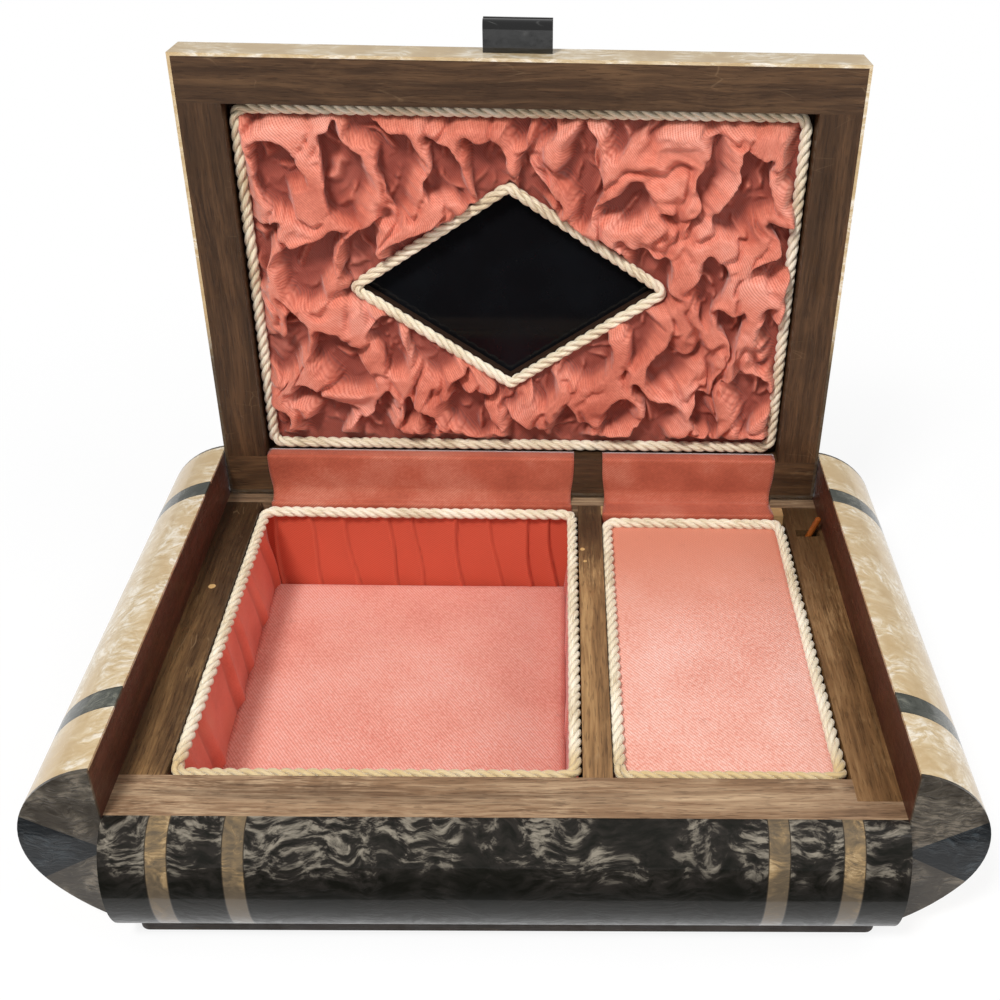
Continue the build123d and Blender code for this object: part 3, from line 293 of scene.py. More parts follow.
def walnut(name, grain, dark, middle, light, polish=0.42, worn=0.5, chips=(), dim=None):
    """Stained walnut with long grain, open pores, rubbed spots and fine scratches.

    chips are places and radii in millimetres, and dim is the pair of places along Y between which painted
    shade darkens it towards the back.
    """
    finish = Finish(name, Specular_IOR_Level=0.35)
    place = finish.place
    run = grain_stretch[grain]
    lines = place.wander(0.06, 0.006).stretch(run)
    streak = lines.speckle(0.0011, 3, 0.65)
    figure = lines.speckle(0.006, 4, 0.6) * 0.6 + streak * 0.4
    colour = figure.ramp({0.30: dark, 0.50: middle, 0.70: light})
    rub = place.speckle(0.03, 5, 0.7).span(0.46, 0.70)
    rub *= lines.speckle(0.0007, 3, 0.8).span(0.44, 0.60)
    colour = finish.mix(rub * worn, colour, light)
    pores = place.stretch([0.09 if s < 1 else 1 for s in run])
    pores = pores.speckle(0.0005, 2).span(0.34, 0.44, 1.0, 0.0)
    colour = finish.mix(pores * 0.35, colour, dark)
    soiled = place.stretch(run).speckle(0.011, 4, 0.7).span(0.52, 0.68)
    colour = finish.mix(soiled * (0.55 * worn), colour, dark)
    # Painted shade: the wood darkens towards the back along Y.
    if dim:
        colour = finish.mix(finish.axis("Y").span(*dim, 0.0, 0.8), colour, dark)
    scratches = place.wander(0.02, 0.004).stretch(turn=scratch_turn[grain])
    scratches = scratches.stretch((0.09, 1, 1)).cells(0.0045, "DISTANCE_TO_EDGE")
    scratches = scratches.span(0.0, 0.022, 1.0, 0.0) * place.speckle(0.012).span(0.56, 0.66)
    colour = finish.mix(scratches * (0.35 * worn), colour, "A88B68")
    for centre, radius in chips:
        colour = finish.mix(finish.spot([c * mm for c in centre], radius * mm), colour, "C9A36C")
    rough = place.speckle(0.008, 5, 0.7).span(0.3, 0.7, polish - 0.1, polish + 0.16)
    normal = (streak * 0.5 - pores * 0.5).bump(0.00012)
    return finish.wear(Base_Color=colour, Roughness=rough, Normal=normal)


def pearl(name, ground, middle, flash, size, cover=0.5, metal=0.15, rough=0.34, fade=None, rim=None,
          coat=0.6, seams=None):
    """Polished pearl celluloid: silky swirled flakes under a clear skin.

    size is how wide its clouds are, cover is how much of it they take up, fade is a pair of
    heights between which the swirls appear out of painted shade below them, rim is where its edges turn dark,
    coat is how glossy its skin is, and seams is an axis with the places along it where a thin dark joint
    shows.
    """
    finish = Finish(name, Metallic=metal, Coat_Weight=coat, Coat_Roughness=0.07, Coat_IOR=1.42,
                    Specular_IOR_Level=0.5 * coat)
    swirled = finish.place.wander(size * 2.0, size * 1.5).wander(size * 0.6, size * 0.35)
    cloud = swirled.speckle(size * 1.2, 2).span(0.60 - 0.3 * cover, 0.84 - 0.3 * cover, 0.2, 1.0)
    strokes = swirled.stripes(size * 0.5, 6.0, 3.0, 1.6)
    silk = swirled.stretch((0.3, 1, 1)).speckle(size * 0.14, 4, 0.65).span(0.28, 0.72)
    veins = abs(swirled.speckle(size * 0.9, 1) - 0.5).span(0.0, 0.022, 1.0, 0.0)
    lit = (strokes * 0.14 + silk * 0.86) * cloud + veins * silk.span(0.4, 0.8, 0.0, 0.15)
    # Painted shade: below these heights the swirls dim, as if lit only from above.
    if fade:
        lit *= finish.axis("Z").span(*fade, 0.22, 1.0)
    colour = lit.ramp({0.02: ground, 0.40: middle, 0.90: flash})
    if rim:
        edge = finish.axis("Y").span(rim[0], rim[0] + 0.0008, 1.0, 0.0)
        edge *= finish.axis("Z").span(rim[1] - 0.0012, rim[1], 1.0, 0.0)
        colour = finish.mix(edge * 0.92, colour, "3A2A1E")
    if seams:
        along = finish.axis(seams[0])
        for joint in seams[1]:
            colour = finish.mix(abs(along - joint).span(0.00014, 0.0004, 0.85, 0.0), colour, "15110D")
    return finish.wear(Base_Color=colour, Roughness=silk.span(0.0, 1.0, rough - 0.06, rough + 0.1),
                       Normal=lit.bump(0.00022), Coat_Normal=finish.place.speckle(0.014, 2).bump(0.00018))


def twill(flat, period, angle):
    """Fine slanted ribs of a twill weave with the threads across them, as a height from 0 to 1."""
    ribs = flat.stretch(turn=angle).stripes(period, 0.6, 2, 0.4)
    threads = flat.stretch(turn=angle + 62).stripes(period * 0.62, 0.5, 2, 0.4)
    return ribs * 0.7 + threads * 0.3


def satin(name, deep, middle, light, period=0.0007, angle=45, rib=0.00009, sheen=0.3, rough=0.52, stains=0.3,
          valley_dust_and_shade=None, far=None, thread=None, wrinkle=0.0, mottle=0.2):
    """Twill-backed satin: ribbed sheen, faded patches and old stains. It reads the piece's flat map.

    valley_dust_and_shade is the colour of the folds' bottoms: painted shade with some dust. far is (from, to,
    colour): how the satin deepens along Y, painted shade on the wall lining. thread is the colour between the
    ribs, wrinkle is the size of its fine creases, and mottle is how much finer its patches are.
    """
    finish = Finish(name, Sheen_Weight=sheen, Sheen_Roughness=0.35, Specular_IOR_Level=0.4, Anisotropic=0.3)
    flat = finish.wire("ShaderNodeUVMap", uv_map="flat")
    height = weave = twill(flat, period, angle)
    shade = flat.speckle(0.032, 4, 0.6) * (1 - mottle) + flat.speckle(0.0012, 2) * mottle
    colour = shade.ramp({0.34: deep, 0.50: middle, 0.66: light})
    # On the wall lining this deepening along Y is painted shade towards the back wall.
    if far:
        colour = finish.mix(finish.axis("Y").span(far[0], far[1]), colour, far[2])
    # Painted shade, with some dust: the satin darkens towards the valley colour where its folds are low or
    # closed.
    if valley_dust_and_shade:
        colour = finish.mix(finish.attribute("fold").span(0.0, 0.75, 0.9, 0.0), colour, valley_dust_and_shade)
    colour = finish.mix(weave.span(0.12, 0.60, 0.62, 0.0), colour, thread or deep)
    dirt = flat.speckle(0.010, 6, 0.75).span(0.60, 0.78)
    colour = finish.mix(dirt * stains, colour, "8A4A38")
    if wrinkle:
        crease = flat.wander(0.012, 0.004).stretch((1, 0.55, 1)).speckle(wrinkle, 2)
        height += abs(crease - 0.5).span(0.0, 0.10) * 0.9
    return finish.wear(Base_Color=colour, Roughness=weave.span(0.0, 1.0, rough + 0.1, rough - 0.06),
                       Normal=height.bump(rib))


def rope_yarn(name, deep, middle, light):
    """Ivory rayon strands: fine fibres along each strand with a slight twist, handled at the box's front."""
    finish = Finish(name, Sheen_Weight=0.5, Sheen_Roughness=0.4, Specular_IOR_Level=0.45)
    along = finish.attribute("along")
    turn = finish.attribute("around") + along * 55.0
    fibres = finish.wire("ShaderNodeCombineXYZ", {"X": turn, "Y": along * 6.0}).speckle(0.045, 3, 0.7)
    mood = finish.place.speckle(0.02, 4, 0.6)
    colour = (fibres * 0.6 + mood * 0.4).ramp({0.36: deep, 0.50: middle, 0.62: light})
    handled = finish.axis("Y").span(-0.046, -0.058) * mood.span(0.3, 0.6, 0.4, 0.9)
    colour = finish.mix(handled, colour, "CDB07A")
    return finish.wear(Base_Color=colour, Roughness=fibres.span(0.3, 0.7, 0.42, 0.6),
                       Normal=fibres.bump(0.00022))


def metal(name, dull, bright, rough, turned=False):
    """Machined metal with fine tool lines, tarnish and a little old oil."""
    finish = Finish(name, Metallic=1.0)
    place = finish.place
    lines = place.stretch((1, 0.06, 1) if turned else (0.2, 1, 1)).speckle(0.0004)
    colour = place.speckle(0.007, 5, 0.65).ramp({0.3: dull, 0.62: bright})
    colour = finish.mix(place.speckle(0.004, 4).span(0.62, 0.8, 0.0, 0.5), colour, "3A3026")
    roughness = place.speckle(0.003, 4).span(0.3, 0.7, rough, rough + 0.18)
    return finish.wear(Base_Color=colour, Roughness=roughness, Normal=lines.bump(0.00002))


def black_celluloid(name, body, scuff):
    """Polished black celluloid with hairline scuffs."""
    finish = Finish(name, Coat_Weight=0.6, Coat_Roughness=0.05, Specular_IOR_Level=0.5)
    place = finish.place
    hair = place.wander(0.01, 0.002).stretch((0.08, 1, 1))
    hair = hair.cells(0.003, "DISTANCE_TO_EDGE").span(0.0, 0.03, 1.0, 0.0)
    hair *= place.speckle(0.006).span(0.5, 0.7)
    rough = place.speckle(0.004, 5).span(0.3, 0.7, 0.08, 0.2)
    normal = place.speckle(0.01).bump(0.0002)
    return finish.wear(Base_Color=finish.mix(hair * 0.5, body, scuff), Roughness=rough, Normal=normal)


def mirror_painted_dark(name, body, dust):
    """Looking-glass painted near-black, a painted reflection of dark surroundings, with specks of dust and
    patches of dulled silvering.
    """
    finish = Finish(name, Specular_IOR_Level=0.2)
    place = finish.place
    specks = place.cells(0.0035).span(0.0, 0.045, 1.0, 0.0) * place.speckle(0.003).span(0.5, 0.6)
    haze = place.speckle(0.02, 4)
    # Painted reflection: body is a near-black colour painted in for what the mirror reflects.
    colour = finish.mix(haze.span(0.4, 0.8, 0.0, 0.5), body, "15181C")
    colour = finish.mix(specks * 0.55, colour, dust)
    return finish.wear(Base_Color=colour, Roughness=haze.span(0.3, 0.7, 0.03, 0.09))


def card(name, dark, light):
    """Grey-brown card, pressed and fibrous."""
    finish = Finish(name, Specular_IOR_Level=0.2)
    fibre = finish.place.stretch((0.3, 1, 1)).speckle(0.0006, 4, 0.7)
    return finish.wear(Base_Color=fibre.ramp({0.35: dark, 0.65: light}),
                       Roughness=fibre.span(0.3, 0.7, 0.75, 0.9), Normal=fibre.bump(0.0001))


def clothe(material, *nodes):
    """Gives CAD nodes a finish."""
    for node in nodes:
        mesh = frame["nodes"][node].data
        mesh.materials.clear()
        mesh.materials.append(material)


# Settings

def colour_prop(name, description, code):
    rgb = [int(code[i:i + 2], 16) / 255 for i in (0, 2, 4)]
    return bpy.props.FloatVectorProperty(name=name, description=description, default=rgb,
                                         subtype="COLOR_GAMMA", size=3, min=0.0, max=1.0)


def size_prop(name, description, default):
    return bpy.props.FloatProperty(name=name, description=description, default=default, unit="LENGTH",
                                   precision=5)


def code_of(colour):
    """A settings colour as paint() reads it."""
    return "".join(f"{round(c * 255):02X}" for c in colour)


class JewelBoxCloth(bpy.types.PropertyGroup):
    wall_colour: colour_prop("Wall satin", "Deep coral satin of the compartment's walls", "E8705A")
    floor_colour: colour_prop("Floor satin", "Pink satin of the pads", "ECA898")
    lid_colour: colour_prop("Lid satin", "Salmon satin ruched inside the lid", "E0866F")
    twill_period: size_prop("Twill", "Distance between the weave's slanted ribs", 0.0007)
    puff_across: size_prop("Puff width", "Distance between stitched places along a row", 0.0165)
    puff_along: size_prop("Puff length", "Distance between rows of stitched places", 0.0290)
    puff_high: size_prop("Puff height", "How far the ruched satin's ridges stand off its mat", 0.0074)
    puff_lean: size_prop("Puff lean", "How far the ridges hang over", 0.0022)
    puff_fullness: bpy.props.FloatProperty(
        name="Fullness", description="How much the satin grows as it is draped",
        default=0.07, min=0.0, max=0.6, subtype="FACTOR")
    pleat_pitch: size_prop("Pleat pitch", "Distance between the wall lining's pleats", 0.0128)
    pleat_deep: size_prop("Pleat depth", "How far a pleat stands off the wall", 0.0024)


class JewelBoxRope(bpy.types.PropertyGroup):
    colour: colour_prop("Rope", "Ivory rayon of the cord trim", "EBDDC0")
    lay: size_prop("Lay", "Length of one full turn of the rope's strands", 0.0117)
    strands: bpy.props.IntProperty(name="Strands", description="Strands twisted into the rope",
                                   default=3, min=2, max=5)
    wander: size_prop("Waviness", "How far the rope strays from its line", 0.0003)


class JewelBoxShell(bpy.types.PropertyGroup):
    wood_dark: colour_prop("Walnut, dark", "Darkest lines of the left wall's walnut", "2A1A11")
    pearl_ground: colour_prop("Pearl, ground", "Tan ground of the wings' celluloid", "C2A67A")
    pearl_flash: colour_prop("Pearl, flash", "Cream swirls of the wings' celluloid", "EEE4D2")
    roll_ground: colour_prop("Roll, ground", "Near-black ground of the front roll", "14140F")
    roll_flash: colour_prop("Roll, flash", "Smoky grey swirls of the front roll", "8C8476")


def settings(kind):
    return getattr(bpy.context.scene, "jewel_box_" + kind)


# Meshes

def new_piece(name, verts, faces, material, flat=None, smooth=True):
    """A mesh object in metres; flat gives each vertex its place on the uncut cloth."""
    mesh = bpy.data.meshes.new(name)
    mesh.from_pydata([tuple(v) for v in verts], [], faces)
    if flat is not None:
        layer = mesh.uv_layers.new(name="flat")
        spots = np.array(flat, float)[[loop.vertex_index for loop in mesh.loops]]
        layer.data.foreach_set("uv", spots.ravel())
    mesh.materials.append(material)
    mesh.polygons.foreach_set("use_smooth", [smooth] * len(mesh.polygons))
    mesh.update()
    return place_in_scene(name, mesh)


def place_in_scene(name, data):
    piece = bpy.data.objects.new(name, data)
    bpy.context.scene.collection.objects.link(piece)
    return piece


def settle(piece):
    """Turns a piece with modifiers into a plain mesh."""
    depsgraph = bpy.context.evaluated_depsgraph_get()
    mesh = bpy.data.meshes.new_from_object(piece.evaluated_get(depsgraph), depsgraph=depsgraph)
    if piece.type == "MESH":
        old = piece.data
        piece.modifiers.clear()
        piece.data = mesh
        bpy.data.meshes.remove(old)
        return piece
    name = piece.name
    bpy.data.objects.remove(piece)
    mesh.name = name
    return place_in_scene(name, mesh)


def grid_faces(columns, rows, ring=False):
    """Faces of a grid of points, row by row; a ring's last column joins its first."""
    wide = columns if ring else columns + 1
    faces = []
    for j in range(rows):
        for i in range(columns):
            a = j * wide + i
            b = j * wide + (i + 1) % wide
            faces.append((a, b, b + wide, a + wide))
    return faces


def note_folds(piece, values):
    """Stores how high or open each of the cloth's points is, for its material, which paints shade with some
    dust into the low and closed places.
    """
    piece.data.attributes.new("fold", "FLOAT", "POINT").data.foreach_set("value", values)


def ripple(x, y, z):
    """A soft random value from -1 to 1 for a place."""
    return noise.noise(Vector((x, y, z)))


# Ropes

def rope_tree():
    """Strands twisted along a closed curve, with the fibres' place on each strand."""
    tree = bpy.data.node_groups.new("Twisted rope", "GeometryNodeTree")
    face = tree.interface
    sockets = {}
    for name, kind in (("Curve", "Geometry"), ("Rope radius", "Float"), ("Lay", "Float"), ("Strands", "Int"),
                       ("Corner radius", "Float"), ("Waviness", "Float"), ("Yarn", "Material")):
        made = face.new_socket(name, in_out="INPUT", socket_type="NodeSocket" + kind)
        sockets[name] = made.identifier
    face.new_socket("Rope", in_out="OUTPUT", socket_type="NodeSocketGeometry")
    nodes = Nodes(tree)
    given = dict(zip(sockets, nodes.wires("NodeGroupInput", (), sockets)))

    def after(kind, shape, inputs=(), **settings):
        """A geometry node that works on a shape."""
        return shape.after("GeometryNode" + kind, inputs, **settings)

    def noted(shape, name, value):
        """The shape, with a value stored at each of its points."""
        inputs = {"Name": name, "Value": value}
        return after("StoreNamedAttribute", shape, inputs, data_type="FLOAT", domain="POINT")

    def scaled(vector, amount):
        return vector.after("ShaderNodeVectorMath", {"Scale": amount}, operation="SCALE")

    radius, lay, strands = given["Rope radius"], given["Lay"], given["Strands"]
    line = after("FilletCurve", given["Curve"], {"Radius": given["Corner radius"], "Count": 5}, mode="POLY")
    line = after("ResampleCurve", line, {"Length": lay / 18.0}, mode="LENGTH")
    line = after("SetCurveNormal", line, mode="Z_UP")
    turns = nodes.maths("ROUND", after("CurveLength", line) / lay)
    strand, number = nodes.wires("GeometryNodeDuplicateElements", {"Geometry": line, "Amount": strands},
                                 ("Geometry", "Duplicate Index"), domain="SPLINE")
    share, length = nodes.wires("GeometryNodeSplineParameter", (), ("Factor", "Length"))
    place = nodes.wire("GeometryNodeInputPosition")
    uneven, stray = nodes.wires("ShaderNodeTexNoise", {"Vector": place, "Scale": 55.0, "Detail": 1.0},
                                ("Fac", "Color"))
    angle = (share * turns + number / strands) * (2 * math.pi) + uneven * 2.2
    tangent = nodes.wire("GeometryNodeInputTangent")
    side = nodes.wire("GeometryNodeInputNormal")
    up = nodes.vectors("CROSS_PRODUCT", tangent, side)
    centre_radius = radius * 0.536
    offset = nodes.vectors("ADD", scaled(side, nodes.maths("COSINE", angle) * centre_radius),
                           scaled(up, nodes.maths("SINE", angle) * centre_radius))
    stray = nodes.vectors("SUBTRACT", stray, (0.5, 0.5, 0.5))
    offset = nodes.vectors("ADD", offset, scaled(stray, given["Waviness"]))
    strand = noted(after("SetPosition", strand, {"Offset": offset}), "along", length)
    ring = nodes.wire("GeometryNodeCurvePrimitiveCircle", {"Resolution": 10, "Radius": radius * 0.475},
                      mode="RADIUS")
    ring = noted(ring, "around", nodes.wire("GeometryNodeSplineParameter", output="Factor"))
    rope = after("CurveToMesh", strand, {"Profile Curve": ring})
    rope = after("RealizeInstances", after("SetShadeSmooth", rope))
    nodes.add("NodeGroupOutput", {0: after("SetMaterial", rope, {"Material": given["Yarn"]})})
    return tree, sockets


def twist_rope(name, outline, radius, corner, yarn, tree, sockets):
    """A rope along a closed outline of points."""
    curve = bpy.data.curves.new(name, "CURVE")
    curve.dimensions = "3D"
    spline = curve.splines.new("POLY")
    spline.points.add(len(outline) - 1)
    for point, spot in zip(spline.points, outline):
        point.co = (*spot, 1.0)
    spline.use_cyclic_u = True
    piece = place_in_scene(name, curve)
    rope = settings("rope")
    modifier = piece.modifiers.new("Twisted rope", "NODES")
    modifier.node_group = tree
    values = {"Rope radius": radius, "Lay": rope.lay, "Strands": rope.strands, "Corner radius": corner,
              "Waviness": rope.wander, "Yarn": yarn}
    for socket, value in values.items():
        modifier[sockets[socket]] = value
    return settle(piece)


def loop_inside(low, high, radius):
    """The rectangle that a cord's middle follows inside its box, seen from above."""
    height = (low.z + high.z) / 2
    return [(low.x + radius, low.y + radius, height), (high.x - radius, low.y + radius, height),
            (high.x - radius, high.y - radius, height), (low.x + radius, high.y - radius, height)]


def mirror_diamond(radius):
    """The middle of the mirror's cord, and how far its line would reach if its tips were sharp."""
    low, high = closed_box("mirror_cord")
    reach = [(high - low)[i] / 2 - radius for i in (0, 1)]
    slope = math.atan2(reach[1], reach[0])
    reach[0] += mirror_cord_bend * (1 / math.sin(slope) - 1)
    reach[1] += mirror_cord_bend * (1 / math.cos(slope) - 1)
    return (low + high) / 2, reach


# Woodwork, celluloid and movement

class JEWELBOX_OT_woodwork(bpy.types.Operator):
    """Finish the walnut case and lid, the base board and the plain boards"""
    bl_idname = "jewel_box.woodwork"
    bl_label = "Finish the woodwork"

    def execute(self, context):
        dark = code_of(settings("shell").wood_dark)
        clothe(walnut("Walnut across", "X", "34231A", "86694F", "BCA080", worn=0.9),
               "front_wall", "back_wall")
        # The side walls and the divider get painted shade towards the back.
        clothe(walnut("Walnut side", "Y", dark, "62482E", "94724A", worn=0.9,
                      chips=[((-101.5, 22.0, 44.0), 1.3)], dim=(-0.01, 0.055)), "left_wall")
        clothe(walnut("Walnut divider", "Y", "30211A", "8E6C48", "C29C6C", worn=1.0,
                      chips=[((21.5, 45.0, 44.0), 0.9), ((22.3, 38.0, 44.0), 0.7)], dim=(0.02, 0.06)),
               "divider")
        clothe(walnut("Walnut sunned", "Y", "3B2716", "7C5A38", "A8845A", worn=0.9, dim=(0.0, 0.07)),
               "right_wall")
        clothe(walnut("Walnut lid", "X", "2A1C12", "483322", "6B4F35", worn=0.45),
               "lid_front_rail", "lid_back_rail", "lid_board")
        clothe(walnut("Walnut stiles", "Z", "2A1C12", "463120", "684A31", worn=0.45), "lid_stiles")
        clothe(walnut("Wing walls", "Y", "34190F", "4C2A1E", "63392A", polish=0.38, worn=0.3),
               "left_wing_core", "right_wing_core")
        clothe(walnut("Dark base", "X", "17110D", "2A2019", "3E3126", polish=0.5), "base_board")
        clothe(walnut("Plain softwood", "X", "8A6A45", "A98559", "C6A479", polish=0.6, worn=0.3),
               "roll_core", "movement_board", "cover_battens", "cover_board")
        clothe(walnut("Varnished dowel", "Z", "5E2E12", "8E4A1B", "B0662C", polish=0.25, worn=0.2),
               "stop_peg")
        return {"FINISHED"}


class JEWELBOX_OT_celluloid(bpy.types.Operator):
    """Finish the pearl sheets of the wings, lid and roll, their bands and end caps, and the black handle"""
    bl_idname = "jewel_box.celluloid"
    bl_label = "Finish the celluloid"

    def execute(self, context):
        shell = settings("shell")
        tan = (code_of(shell.pearl_ground), "D4BE98", code_of(shell.pearl_flash))
        clothe(pearl("Pearl wings", *tan, 0.013, 0.85), "left_wing_sheets", "right_wing_sheets")
        lid_face, lid_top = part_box("lid_sheet")
        rim = (lid_face.y + 0.0016, lid_top.z - 0.004)
        clothe(pearl("Pearl lid", *tan, 0.014, 0.8, rim=rim), "lid_sheet")
        clothe(pearl("Pearl wing bands", "34372F", "50524A", "7C7C70", 0.007, 0.5,
                     seams=("Y", side_places("wing_bands", 1))), "wing_bands")
        clothe(pearl("Pearl cap slate", "0E1114", "1E2327", "3C4347", 0.009, 0.6, coat=0.4),
               "wing_cap_dark_wedges")
        clothe(pearl("Pearl cap grey", "38322B", "524B41", "7E7466", 0.009, 0.7, coat=0.4),
               "wing_cap_pale_wedges")
        roll_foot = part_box("roll_sheets")[0].z
        smoky = (code_of(shell.roll_ground), "2C2824", code_of(shell.roll_flash))
        # Painted shade dims the swirls of the roll and its bands towards their feet.
        clothe(pearl("Pearl roll", *smoky, 0.014, 0.95, metal=0.2, rough=0.36, coat=0.32,
                     fade=(roll_foot + 0.021, roll_foot + 0.033)), "roll_sheets")
        clothe(pearl("Pearl roll bands", "5C5040", "957C58", "C2A880", 0.008, 0.5,
                     fade=(roll_foot + 0.018, roll_foot + 0.034), seams=("X", side_places("roll_bands", 0))),
               "roll_bands")
        clothe(pearl("Pearl back", "3A342B", "5A5145", "877C6A", 0.014, 0.5), "back_sheet")
        clothe(black_celluloid("Black celluloid", "0B0B0B", "5A5A58"), "lid_handle")
        # The mirror's near-black colour is a painted reflection.
        clothe(mirror_painted_dark("Mirror glass", "0E0E10", "8F959A"), "mirror")
        clothe(card("Mat card", "241812", "3D2B20"), "lid_mat")
        return {"FINISHED"}


class JEWELBOX_OT_movement(bpy.types.Operator):
    """Finish the musical movement, the key, the hinges, screws and nails"""
    bl_idname = "jewel_box.movement"
    bl_label = "Finish the movement"

    def execute(self, context):
        clothe(metal("Steel", "7D7F83", "B4B6BA", 0.28), "tone_comb", "cylinder_shaft", "winding_arbor",
               "winding_key", "air_brake", "hinge_pins", "stop_wire", "bedplate_screws", "comb_screws",
               "governor_wheel")
        clothe(metal("Brass", "8C6A32", "CDA45A", 0.26, turned=True), "pinned_cylinder", "spring_barrel",
               "cylinder_bridge", "governor_frame", "hinge_case_leaves", "hinge_lid_leaves")
        clothe(metal("Dark screws", "4A4540", "77726A", 0.42), "base_screws", "hinge_case_nails",
               "hinge_lid_nails")
        clothe(metal("Cast plate", "55585C", "777A7E", 0.5), "bedplate")
        return {"FINISHED"}


class JEWELBOX_OT_ropes(bpy.types.Operator):
    """Twist the ivory rope trim of the case, the lid and the mirror"""
    bl_idname = "jewel_box.ropes"
    bl_label = "Twist the ropes"

    def execute(self, context):
        yarn = rope_yarn("Ivory rayon", "B79F78", code_of(settings("rope").colour), "FAF2E0")
        tree, sockets = rope_tree()
        loops = halves("case_cords")
        radius = (loops[0][1].z - loops[0][0].z) / 2
        for name, (low, high) in zip(("rope_left", "rope_right"), loops):
            rope = twist_rope(name, loop_inside(low, high, radius), radius, case_cord_corner, yarn, tree,
                              sockets)
            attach(rope, "case")
            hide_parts("case_cords")
        low, high = closed_box("lid_cord")
        rope = twist_rope("rope_lid", loop_inside(low, high, radius), radius, lid_cord_corner, yarn, tree,
                          sockets)
        middle, reach = mirror_diamond(radius)
        diamond = [(middle.x - reach[0], middle.y, middle.z), (middle.x, middle.y - reach[1], middle.z),
                   (middle.x + reach[0], middle.y, middle.z), (middle.x, middle.y + reach[1], middle.z)]
        mirror_rope = twist_rope("rope_mirror", diamond, radius, mirror_cord_corner, yarn, tree, sockets)
        for piece, node in ((rope, "lid_cord"), (mirror_rope, "mirror_cord")):
            piece.data.transform(lid_open)
            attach(piece, "lid")
            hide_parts(node)
        return {"FINISHED"}


# Ruched satin

def satin_grid(low, high, diamond):
    """Points and faces of the satin's sheet round the mirror's diamond, with its two borders' points."""
    centre, reach = diamond

    def far(p):
        """How far out a point is: 1 on the diamond's line."""
        return abs(p.x - centre.x) / reach[0] + abs(p.y - centre.y) / reach[1]

    size = high - low
    columns, rows = round(size.x / satin_pitch), round(size.y / satin_pitch)
    spots = []
    for j in range(rows + 1):
        for i in range(columns + 1):
            spots.append(Vector((low.x + size.x * i / columns, low.y + size.y * j / rows, 0.0)))
    inside = [far(p) < 1 for p in spots]
    faces = [f for f in grid_faces(columns, rows) if not all(inside[v] for v in f)]
    hole = {v for f in faces for v in f if inside[v]}
    for v in hole:
        p = spots[v]
        share = far(p)
        if share > 0.01:
            p.x, p.y = centre.x + (p.x - centre.x) / share, centre.y + (p.y - centre.y) / share
    wide = columns + 1
    border = {v for v in range(len(spots)) if v % wide in (0, columns) or v // wide in (0, rows)}
    used = sorted({v for f in faces for v in f})
    number = {v: k for k, v in enumerate(used)}
    faces = [tuple(number[v] for v in f) for f in faces]
    held = {number[v] for v in hole | (border & set(used))}
    return [spots[v] for v in used], faces, held


def soft_step(value, low, high):
    """0 below low, 1 above high, with a soft rise between them."""
    share = np.clip((value - low) / (high - low), 0, 1)
    return share * share * (3 - 2 * share)


def rough_field(points, size, seed, depth=1):
    """Soft random values at each of the points, with patches about size wide."""
    return np.array([noise.fractal(Vector((x / size, y / size, seed)), 1.0, 2.0, depth) for x, y in points])


def stitched_places(low, high, across, along, chance):
    """Where the satin is stitched down: staggered rows, a little uneven, also just past the border."""
    found = []
    row, y = 0, low.y - along * 0.3
    while y < high.y + along:
        x = low.x - across * (0.2 if row % 2 else 0.7)
        while x < high.x + across:
            found.append((x + chance.uniform(-0.3, 0.3) * across, y + chance.uniform(-0.3, 0.3) * along))
            x += across
        y += along
        row += 1
    return np.array(found)


def held_down(points, low, high, diamond, lean):
    """0 at the satin's borders and 1 a little way in: how free each point is to stand off the mat."""
    centre, reach = diamond
    x, y = points[:, 0], points[:, 1]
    to_foot = (high.y - y - lean) * 0.45
    edge = np.minimum.reduce([x - low.x, high.x - x, y - low.y, to_foot])
    outside = np.abs(x - centre.x) / reach[0] + np.abs(y - centre.y) / reach[1] - 1
    above = 1 - 0.5 * soft_step(centre.y - y, -0.004, 0.008)
    edge = np.minimum(edge, outside / math.hypot(1 / reach[0], 1 / reach[1]) * above)
    return soft_step(edge, -0.0005, 0.0045)


